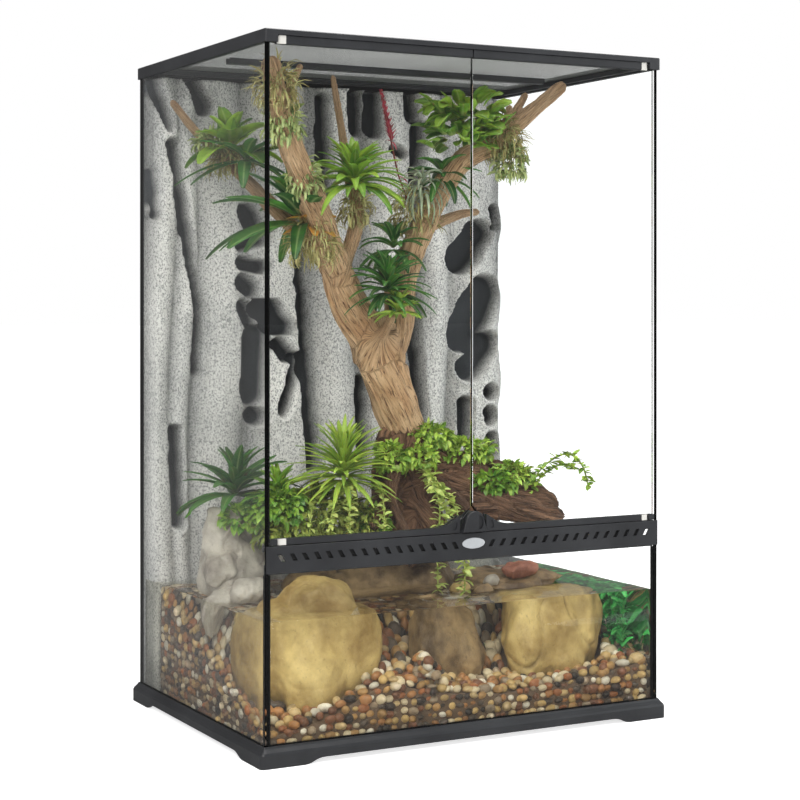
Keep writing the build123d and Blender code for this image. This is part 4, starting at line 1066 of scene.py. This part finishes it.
def addLimb(bm, samples, limb, number):
    places = splinePlaces(limb["path"], limbMake["step"])
    last = len(places) - 1
    length = 0
    sizes = []
    for index in range(len(places)):
        share = index / last
        size = limb["start"] + (limb["end"] - limb["start"]) * share
        size *= 1 + limbMake["uneven"] * noise.noise(Vector((number * 3.3, index * 0.33, 0.2)))
        sizes.append(size / 1000)
    for index in range(last):
        run = places[index + 1] - places[index]
        small = bmesh.new()
        addRod(
            small, places[index], places[index + 1], sizes[index], sizes[index + 1],
            limbMake["sides"], limbMake["overlap"])
        joinShape(bm, small)
        samples.append((places[index], run.normalized(), sizes[index], length, number))
        length += run.length
    tip = Matrix.Translation(places[-1])
    bmesh.ops.create_icosphere(bm, subdivisions=2, radius=sizes[-1] * 0.9, matrix=tip)
    samples.append((places[-1], run.normalized(), sizes[-1], length, number))


def carveGrain(bm, samples, ridge, lump):
    # Ridges and hollows that run along each limb.
    tree = kdtree.KDTree(len(samples))
    for index, sample in enumerate(samples):
        tree.insert(sample[0], index)
    tree.balance()
    along = bm.verts.layers.float_vector.new("along")
    bm.normal_update()
    moves = []
    for vert in bm.verts:
        place, run, size, length, number = samples[tree.find(vert.co)[1]]
        arm = vert.co - place
        length += arm.dot(run)
        side = run.cross(Vector((0.3, 1, 0.1))).normalized()
        other = run.cross(side)
        flat = arm - run * arm.dot(run)
        angle = math.atan2(flat.dot(other), flat.dot(side)) + length * 5
        ring = Vector((math.cos(angle), math.sin(angle), length * 9 + number * 7.1))
        ribs = abs(noise.noise(Vector((ring.x * 2.1, ring.y * 2.1, ring.z * 0.55))))
        fine = noise.noise(Vector((ring.x * 5.5, ring.y * 5.5, ring.z * 0.9)))
        knobs = noise.noise(vert.co * 26)
        vert[along] = ring
        scale = min(1, size / thinLimb)
        moves.append(vert.normal * scale * (ridge * (0.35 - ribs) + ridge * 0.35 * fine + lump * knobs))
    for vert, move in zip(bm.verts, moves):
        vert.co += move


# Radii and paths of the limbs in millimetres
woodwork = {
    "forkedDriftwood": {
        "finish": "driftwood", "slot": "driftwood", "node": ("driftwood",),
        "voxel": 0.0024, "ridge": 0.0062, "lump": 0.0030,
        "limbs": [
            {"start": 28, "end": 36, "path": [
                (18, 0, 386), (5, 0, 420), (-8, 0, 455), (-22, -2, 490), (-34, -5, 522)]},
            {"start": 27, "end": 11, "path": [
                (-28, -4, 500), (-63, -10, 544), (-94, -25, 592), (-140, -55, 677), (-190, -90, 747),
                (-224, -113, 812), (-243, -128, 872)]},
            {"start": 8, "end": 4, "path": [(-229, -115, 815), (-209, -112, 850), (-193, -105, 875)]},
            {"start": 11, "end": 4, "path": [
                (-100, -32, 605), (-78, -31, 660), (-72, -29, 697), (-84, -28, 742), (-106, -24, 874)]},
            {"start": 23, "end": 9, "path": [
                (-14, 0, 492), (8, 3, 530), (17, 5, 606), (57, -10, 702), (96, -27, 768), (144, -40, 790),
                (173, -45, 820), (240, -59, 876)]},
            {"start": 8, "end": 5, "path": [(151, -41, 795), (173, -36, 831), (197, -32, 865)]},
            {"start": 7, "end": 5, "path": [(140, -38, 788), (151, -48, 815), (158, -52, 843)]},
            {"start": 9, "end": 5, "path": [(44, -3, 670), (84, 15, 683), (123, 25, 695), (153, 30, 699)]},
            {"start": 12, "end": 5, "path": [
                (-118, -40, 640), (-154, 5, 672), (-179, 60, 723), (-207, 100, 766), (-243, 123, 806),
                (-274, 130, 845)]},
            {"start": 9, "end": 6, "path": [(-40, -12, 505), (-38, -45, 530), (-35, -60, 547)]},
        ],
    },
    "darkRoots": {
        "finish": "darkRoot", "slot": "dark_wood", "node": ("root_stump",),
        "voxel": 0.0022, "ridge": 0.014, "lump": 0.007,
        "limbs": [
            {"start": 58, "end": 32, "path": [(22, 10, 214), (20, 6, 280), (17, 2, 340), (16, 0, 386)]},
            {"start": 24, "end": 15, "path": [
                (30, 0, 330), (80, -30, 312), (140, -50, 300), (212, -58, 284)]},
            {"start": 17, "end": 10, "path": [(20, 10, 345), (90, 5, 346), (150, -10, 330), (200, -25, 318)]},
            {"start": 16, "end": 20, "path": [
                (70, -50, 286), (120, -66, 284), (170, -72, 276), (214, -70, 262)]},
            {"start": 26, "end": 16, "path": [(40, -10, 352), (84, -22, 340), (124, -34, 322)]},
            {"start": 22, "end": 14, "path": [(150, -30, 306), (190, -44, 296), (224, -52, 280)]},
            {"start": 17, "end": 7, "path": [(10, 0, 320), (-30, -40, 292), (-62, -60, 266)]},
            {"start": 15, "end": 7, "path": [(22, -10, 300), (24, -62, 268), (44, -96, 222)]},
            {"start": 10, "end": 4, "path": [
                (60, -20, 318), (110, -62, 296), (160, -72, 268), (205, -60, 262)]},
            {"start": 9, "end": 4, "path": [(30, 0, 360), (74, -34, 346), (110, -40, 336), (150, -52, 318)]},
            {"start": 9, "end": 4, "path": [
                (8, -20, 356), (-24, -46, 330), (-40, -70, 300), (-30, -92, 262)]},
            {"start": 10, "end": 4, "path": [
                (30, -20, 330), (58, -66, 300), (88, -88, 258), (96, -100, 224)]},
        ],
    },
}


def buildWood(name, plan):
    bm = bmesh.new()
    samples = []
    for number, limb in enumerate(plan["limbs"]):
        addLimb(bm, samples, limb, number)
    bm = meltTogether(bm, plan["voxel"], 2)
    carveGrain(bm, samples, plan["ridge"], plan["lump"])
    print(name, len(bm.faces))
    addPiece(name, bm, plan["finish"], plan["node"])


for name, plan in woodwork.items():
    buildWood(name, plan)
print("wood ready")


# Plants
def addLeaf(
    bm, base, heading, rise, length, width,
    droop=60, fold=0.25, point=0.6, rows=6, tone=0.5, roll=0.0,
):
    # One leaf bent in an arc: heading turns it, rise lifts it, droop bends it down.
    small, leaf = newShape("leaf", "float_vector")
    bmesh.ops.create_grid(small, x_segments=2, y_segments=rows, size=1)
    out = Vector((math.cos(heading), math.sin(heading), 0))
    side = Vector((-math.sin(heading), math.cos(heading), 0))
    lift = math.radians(rise)
    bend = math.radians(droop if abs(droop) > 1 else 1)
    for vert in small.verts:
        across, along = vert.co.x, (vert.co.y + 1) / 2
        angle = lift - bend * along
        reach = length * (math.sin(lift) - math.sin(angle)) / bend
        height = length * (math.cos(angle) - math.cos(lift)) / bend
        half = width / 2 * min(1, 0.45 + 1.6 * along) * max(0.04, 1 - along ** 2.2) ** point
        normal = up * math.cos(angle) - out * math.sin(angle)
        edge = side * math.cos(roll) + normal * math.sin(roll)
        spine = Vector(base) + out * reach + up * height
        vert.co = spine + edge * across * half + normal * fold * abs(across) * half
        vert[leaf] = (across, along, tone)
    joinShape(bm, small)


def newPlant():
    return newShape("leaf", "float_vector")[0]


def finishPlant(name, bm, plan, thick=0.0):
    piece = addPiece(name, bm, plan["finish"], plan.get("node", ()))
    if thick:
        body = piece.modifiers.new("thickness", "SOLIDIFY")
        body.thickness = thick
        body.offset = 0


# Rosettes: leaves in rings, from low outer ones to high inner ones
bladeThick = 0.0006
usualRosette = {"first": 0, "spread": 360, "point": 0.6, "rows": 7}
rosettes = {
    "largeBromeliad": {
        "base": (-0.093, -0.062, 0.722), "node": ("large_bromeliad",), "finish": "brightLeaf",
        "rings": 5, "leaves": 14, "length": 0.084, "width": 0.014, "low": 12, "high": 80, "droop": 62},
    "smallBromeliad": {
        "base": (-0.040, -0.058, 0.578), "node": ("small_bromeliad",), "finish": "darkLeaf",
        "rings": 5, "leaves": 12, "length": 0.074, "width": 0.012, "low": 0, "high": 78, "droop": 55},
    "youngBromeliad": {
        "base": (-0.030, -0.070, 0.552), "finish": "limeLeaf",
        "rings": 3, "leaves": 10, "length": 0.044, "width": 0.010, "low": 15, "high": 80, "droop": 50},
    "hangingBromeliad": {
        "base": (-0.158, -0.038, 0.672), "node": ("hanging_bromeliad",), "finish": "darkLeaf",
        "rings": 3, "leaves": 6, "length": 0.138, "width": 0.026, "low": 2, "high": 62, "droop": 42,
        "first": 80, "spread": 190, "point": 0.45, "rows": 12},
    "bromeliadFoot": {
        "base": (-0.152, -0.048, 0.668), "finish": "redBase",
        "rings": 3, "leaves": 7, "length": 0.040, "width": 0.016, "low": 0, "high": 70, "droop": 40,
        "point": 0.4},
    "leftCanopyPlant": {
        "base": (-0.207, 0.088, 0.780), "node": ("left_canopy_plant",), "finish": "brightLeaf",
        "rings": 3, "leaves": 5, "length": 0.072, "width": 0.036, "low": 10, "high": 75, "droop": 50,
        "point": 0.4, "rows": 9},
    "leftStraps": {
        "base": (-0.195, 0.060, 0.762), "finish": "darkLeaf",
        "rings": 2, "leaves": 6, "length": 0.098, "width": 0.018, "low": -5, "high": 35, "droop": 40,
        "first": 150, "spread": 260, "point": 0.45, "rows": 10},
    "airPlant": {
        "base": (0.036, -0.018, 0.724), "node": ("air_plant",), "finish": "silverLeaf",
        "rings": 4, "leaves": 14, "length": 0.056, "width": 0.0045, "low": -5, "high": 75, "droop": 120},
    "rightStraps": {
        "base": (0.066, -0.020, 0.742), "finish": "darkLeaf",
        "rings": 3, "leaves": 8, "length": 0.062, "width": 0.012, "low": -10, "high": 60, "droop": 60,
        "point": 0.45},
    "limbStraps": {
        "base": (-0.004, -0.008, 0.640), "finish": "darkLeaf",
        "rings": 3, "leaves": 8, "length": 0.066, "width": 0.013, "low": 0, "high": 70, "droop": 60,
        "point": 0.45},
    "grassyShrub": {
        "base": (-0.096, -0.036, 0.326), "node": ("grassy_shrub",), "finish": "limeLeaf",
        "rings": 7, "leaves": 17, "length": 0.086, "width": 0.0085, "low": 0, "high": 86, "droop": 45},
    "leftFern": {
        "base": (-0.216, 0.046, 0.304), "node": ("left_fern",), "finish": "darkLeaf",
        "rings": 4, "leaves": 9, "length": 0.092, "width": 0.017, "low": 10, "high": 80, "droop": 45},
    "brightFern": {
        "base": (-0.180, -0.005, 0.300), "finish": "brightLeaf",
        "rings": 4, "leaves": 9, "length": 0.062, "width": 0.012, "low": 0, "high": 80, "droop": 50},
}


def addRosette(bm, plan, dice):
    for ring in range(plan["rings"]):
        share = ring / (plan["rings"] - 1)
        base = Vector(plan["base"]) + up * 0.004 * ring
        for step in range(plan["leaves"]):
            turn = plan["first"] + plan["spread"] * (step + 0.5 * (ring % 2)) / plan["leaves"]
            heading = math.radians(turn) + dice.uniform(-0.15, 0.15)
            rise = plan["low"] + (plan["high"] - plan["low"]) * share + dice.uniform(-7, 7)
            length = plan["length"] * dice.uniform(0.8, 1.1) * (1 - 0.25 * share)
            width = plan["width"] * dice.uniform(0.85, 1.15)
            addLeaf(
                bm, base, heading, rise, length, width, droop=plan["droop"] * dice.uniform(0.7, 1.2),
                fold=0.3, point=plan["point"], rows=plan["rows"], tone=dice.uniform(0.1, 0.9),
                roll=dice.uniform(-0.3, 0.3))


def buildRosettes(plants):
    dice = random.Random(5)
    for name, plan in plants.items():
        bm = newPlant()
        addRosette(bm, {**usualRosette, **plan}, dice)
        finishPlant(name, bm, plan, bladeThick)


# Moss and ground cover: clumps of short leaves, each a middle, its radii and a count
tufts = {
    "mossBank": {
        "node": ("moss_bank",), "finish": "mossLeaf", "slot": "moss", "length": 0.017, "width": 0.006,
        "clumps": [
            ((-0.128, -0.012, 0.268), (0.074, 0.046, 0.047), 1300),
            ((-0.19, -0.02, 0.262), (0.02, 0.03, 0.04), 220),
            ((-0.07, -0.04, 0.262), (0.024, 0.024, 0.036), 220),
        ],
    },
    "treeMoss": {
        "finish": "strawLeaf", "slot": "moss", "length": 0.026, "width": 0.0026, "droop": 150,
        "clumps": [
            ((-0.150, -0.052, 0.645), (0.030, 0.022, 0.040), 420),
            ((0.150, -0.044, 0.795), (0.030, 0.022, 0.030), 420),
            ((-0.232, -0.12, 0.838), (0.020, 0.016, 0.036), 300),
            ((-0.205, 0.09, 0.762), (0.026, 0.022, 0.020), 260),
            ((0.030, -0.004, 0.690), (0.030, 0.024, 0.040), 320),
            ((-0.078, -0.036, 0.690), (0.016, 0.014, 0.024), 180),
        ],
    },
    "limbMoss": {
        "finish": "paleMoss", "slot": "moss", "length": 0.018, "width": 0.005, "droop": 120,
        "clumps": [
            ((-0.216, -0.106, 0.794), (0.018, 0.018, 0.034), 260),
            ((-0.176, -0.080, 0.724), (0.018, 0.018, 0.030), 220),
            ((0.160, -0.05, 0.760), (0.020, 0.016, 0.030), 240),
            ((-0.226, 0.104, 0.786), (0.022, 0.018, 0.014), 160),
        ],
    },
    "rootMoss": {
        "finish": "limeLeaf", "slot": "moss", "length": 0.012, "width": 0.0065,
        "clumps": [
            ((0.045, -0.022, 0.378), (0.034, 0.030, 0.018), 420),
            ((0.10, -0.02, 0.356), (0.050, 0.028, 0.018), 480),
            ((-0.022, -0.034, 0.350), (0.022, 0.022, 0.024), 240),
            ((0.165, -0.044, 0.322), (0.034, 0.020, 0.016), 260),
            ((0.016, -0.052, 0.352), (0.020, 0.014, 0.018), 160),
        ],
    },
    "groundCover": {
        "finish": "brightLeaf", "length": 0.013, "width": 0.0085,
        "clumps": [
            ((-0.186, -0.030, 0.290), (0.030, 0.030, 0.026), 380),
            ((-0.052, -0.046, 0.262), (0.020, 0.018, 0.024), 120),
            ((0.128, -0.058, 0.312), (0.034, 0.018, 0.016), 260),
            ((-0.226, 0.002, 0.276), (0.026, 0.026, 0.022), 200),
        ],
    },
}


def addTuft(bm, middle, radii, count, plan, dice):
    for _ in range(count):
        heading = dice.uniform(0, turnRound)
        rise = math.degrees(math.asin(dice.uniform(-0.5, 1)))
        level = math.radians(rise)
        flat = math.cos(level)
        spot = Vector((
            radii[0] * flat * math.cos(heading), radii[1] * flat * math.sin(heading),
            radii[2] * math.sin(level)))
        base = Vector(middle) + spot * dice.uniform(0.6, 1.0)
        addLeaf(
            bm, base, heading + dice.uniform(-0.9, 0.9), rise + dice.uniform(-30, 40),
            plan["length"] * dice.uniform(0.6, 1.3), plan["width"] * dice.uniform(0.7, 1.3),
            droop=plan.get("droop", 90) * dice.uniform(0.3, 1.5), rows=3, tone=dice.uniform(0, 1),
            roll=dice.uniform(-1, 1))


def buildTufts(patches):
    dice = random.Random(8)
    for name, plan in patches.items():
        bm = newPlant()
        for middle, radii, count in plan["clumps"]:
            addTuft(bm, middle, radii, count, plan, dice)
        finishPlant(name, bm, plan)


# Creepers: leaves in threes along stems, whose paths are in millimetres
trails = {
    "shoreCreeper": {
        "node": ("shore_creeper",), "finish": "paleLeaf", "length": 0.013, "width": 0.008, "gap": 0.0065,
        "paths": [
            [(18, -44, 350), (14, -104, 300), (4, -118, 240), (2, -122, 182)],
            [(20, -46, 348), (34, -112, 290), (40, -126, 230), (38, -132, 180)],
            [(14, -46, 346), (24, -100, 300), (20, -114, 262)],
        ],
    },
    "bankCreeper": {
        "finish": "paleLeaf", "length": 0.012, "width": 0.007, "gap": 0.006,
        "paths": [
            [(-92, -44, 330), (-104, -76, 312), (-116, -92, 278), (-112, -96, 236)],
            [(-96, -44, 326), (-124, -70, 304), (-140, -82, 268), (-138, -88, 232)],
            [(-60, -40, 330), (-58, -74, 310), (-62, -90, 276), (-66, -94, 240)],
            [(-120, -20, 306), (-150, -52, 296), (-162, -68, 262), (-166, -74, 226)],
        ],
    },
    "archingVine": {
        "node": ("arching_vine",), "finish": "limeLeaf", "length": 0.012, "width": 0.008, "gap": 0.0055,
        "paths": [
            [(184, -58, 294), (204, -64, 332), (240, -72, 352), (262, -80, 336), (270, -84, 306)],
            [(186, -58, 300), (210, -66, 326), (236, -74, 338), (250, -80, 330)],
        ],
    },
}


stemMake = {"radius": 0.0012, "sides": 6, "overlap": 1.1}


def addTrail(bm, path, plan, dice):
    places = splinePlaces(path, plan["gap"])
    for start, end in zip(places, places[1:]):
        for _ in range(3):
            addLeaf(
                bm, end, dice.uniform(0, turnRound), dice.uniform(-20, 50),
                plan["length"] * dice.uniform(0.7, 1.2), plan["width"] * dice.uniform(0.8, 1.2),
                droop=dice.uniform(10, 60), rows=3, point=0.35, tone=dice.uniform(0.1, 1),
                roll=dice.uniform(-0.5, 0.5))
        small, leaf = newShape("leaf", "float_vector")
        addRod(
            small, start, end, stemMake["radius"], stemMake["radius"], stemMake["sides"],
            stemMake["overlap"])
        for vert in small.verts:
            vert[leaf] = (0.6, 0.1, 0.1)
        joinShape(bm, small)


def buildTrails(plants):
    dice = random.Random(13)
    for name, plan in plants.items():
        bm = newPlant()
        for path in plan["paths"]:
            addTrail(bm, path, plan, dice)
        finishPlant(name, bm, plan)


# Rounded leaves on short stalks at the top of the right limb
canopy = {
    "middle": (0.090, -0.038, 0.792), "node": ("right_canopy_plant",), "finish": "brightLeaf",
    "leaves": 135, "reach": (0.006, 0.056), "height": (-0.012, 0.056), "rise": (-10, 65),
    "length": (0.024, 0.038), "width": (0.015, 0.023),
}


def buildCanopy(plan):
    dice = random.Random(21)
    bm = newPlant()
    x, y, z = plan["middle"]
    for _ in range(plan["leaves"]):
        heading = dice.uniform(0, turnRound)
        reach = dice.uniform(*plan["reach"])
        base = Vector((
            x + reach * math.cos(heading), y + reach * math.sin(heading) * 0.8,
            z + dice.uniform(*plan["height"])))
        addLeaf(
            bm, base, heading, dice.uniform(*plan["rise"]), dice.uniform(*plan["length"]),
            dice.uniform(*plan["width"]), droop=dice.uniform(20, 80), rows=4, point=0.35,
            tone=dice.uniform(0, 0.9), roll=dice.uniform(-0.6, 0.6))
    finishPlant("rightCanopyPlant", bm, plan, bladeThick)


# Two stands of leafy stems under water, on the right
waterPlant = {
    "node": ("water_plant",), "finish": "waterLeaf", "gap": 0.0060,
    "stands": [
        {"stems": 22, "x": (0.226, 0.266), "y": (-0.076, 0.084), "foot": 0.088, "levels": 12, "leaves": 3,
         "rise": (-10, 60), "length": (0.013, 0.020), "width": (0.007, 0.012)},
        {"stems": 30, "x": (0.263, 0.278), "y": (-0.165, 0.11), "foot": 0.080, "levels": 14, "leaves": 2,
         "rise": (0, 70), "length": (0.012, 0.020), "width": (0.006, 0.010)},
    ],
}


def addStem(bm, stand, gap, dice):
    base = Vector((dice.uniform(*stand["x"]), dice.uniform(*stand["y"]), stand["foot"]))
    for level in range(stand["levels"]):
        for _ in range(stand["leaves"]):
            addLeaf(
                bm, base + up * gap * level, dice.uniform(0, turnRound), dice.uniform(*stand["rise"]),
                dice.uniform(*stand["length"]), dice.uniform(*stand["width"]),
                droop=dice.uniform(20, 80), rows=3, point=0.35, tone=dice.uniform(0, 1),
                roll=dice.uniform(-0.6, 0.6))


def buildWaterPlant(plan):
    dice = random.Random(31)
    bm = newPlant()
    for stand in plan["stands"]:
        for _ in range(stand["stems"]):
            addStem(bm, stand, plan["gap"], dice)
    finishPlant("waterPlant", bm, plan)


# The thin red flower spike behind the middle of the tree
flower = {
    "finish": "redLeaf", "length": 0.02, "width": 0.003, "gap": 0.02,
    "stalk": [(30, 4, 700), (8, 0, 745), (-8, -8, 792)],
    "foot": (-0.008, -0.009, 0.792), "lean": -0.0011, "climb": 0.0045, "levels": 16,
    "sides": (0, 2.1, 4.2), "petal": 0.016, "petalWidth": 0.006, "taper": 22,
}


def buildFlower(plan):
    dice = random.Random(41)
    bm = newPlant()
    addTrail(bm, plan["stalk"], plan, dice)
    x, y, z = plan["foot"]
    for level in range(plan["levels"]):
        place = Vector((x + plan["lean"] * level, y, z + plan["climb"] * level))
        length = plan["petal"] * (1 - level / plan["taper"])
        for side in plan["sides"]:
            addLeaf(
                bm, place, side + level, 62, length, plan["petalWidth"],
                droop=20, rows=3, tone=dice.uniform(0.2, 1))
    finishPlant("redFlowerSpike", bm, plan)


buildRosettes(rosettes)
buildTufts(tufts)
buildTrails(trails)
buildCanopy(canopy)
buildWaterPlant(waterPlant)
buildFlower(flower)
print("plants ready")

# Water, with a slight ripple
water = {
    "halfWidth": 0.2879,
    "front": -0.2127,
    "back": 0.2003,
    "level": 0.175,
    "floor": 0.0233,
    "ripple": 0.0007,
    "columns": 70,
    "rows": 50,
}


def buildWater(plan):
    bm = bmesh.new()
    bmesh.ops.create_grid(bm, x_segments=plan["columns"], y_segments=plan["rows"], size=0.5)
    for vert in bm.verts:
        x = vert.co.x * 2 * plan["halfWidth"]
        y = plan["front"] + (vert.co.y + 0.5) * (plan["back"] - plan["front"])
        swell = noise.noise(Vector((x * 18, y * 18, 0.4)))
        swell += 0.5 * noise.noise(Vector((x * 46, y * 46, 2.2)))
        vert.co = Vector((x, y, plan["level"] + plan["ripple"] * swell))
    closeSheet(bm, 2, plan["floor"])
    addPiece("water", bm, "water")


buildWater(water)
print("water ready")
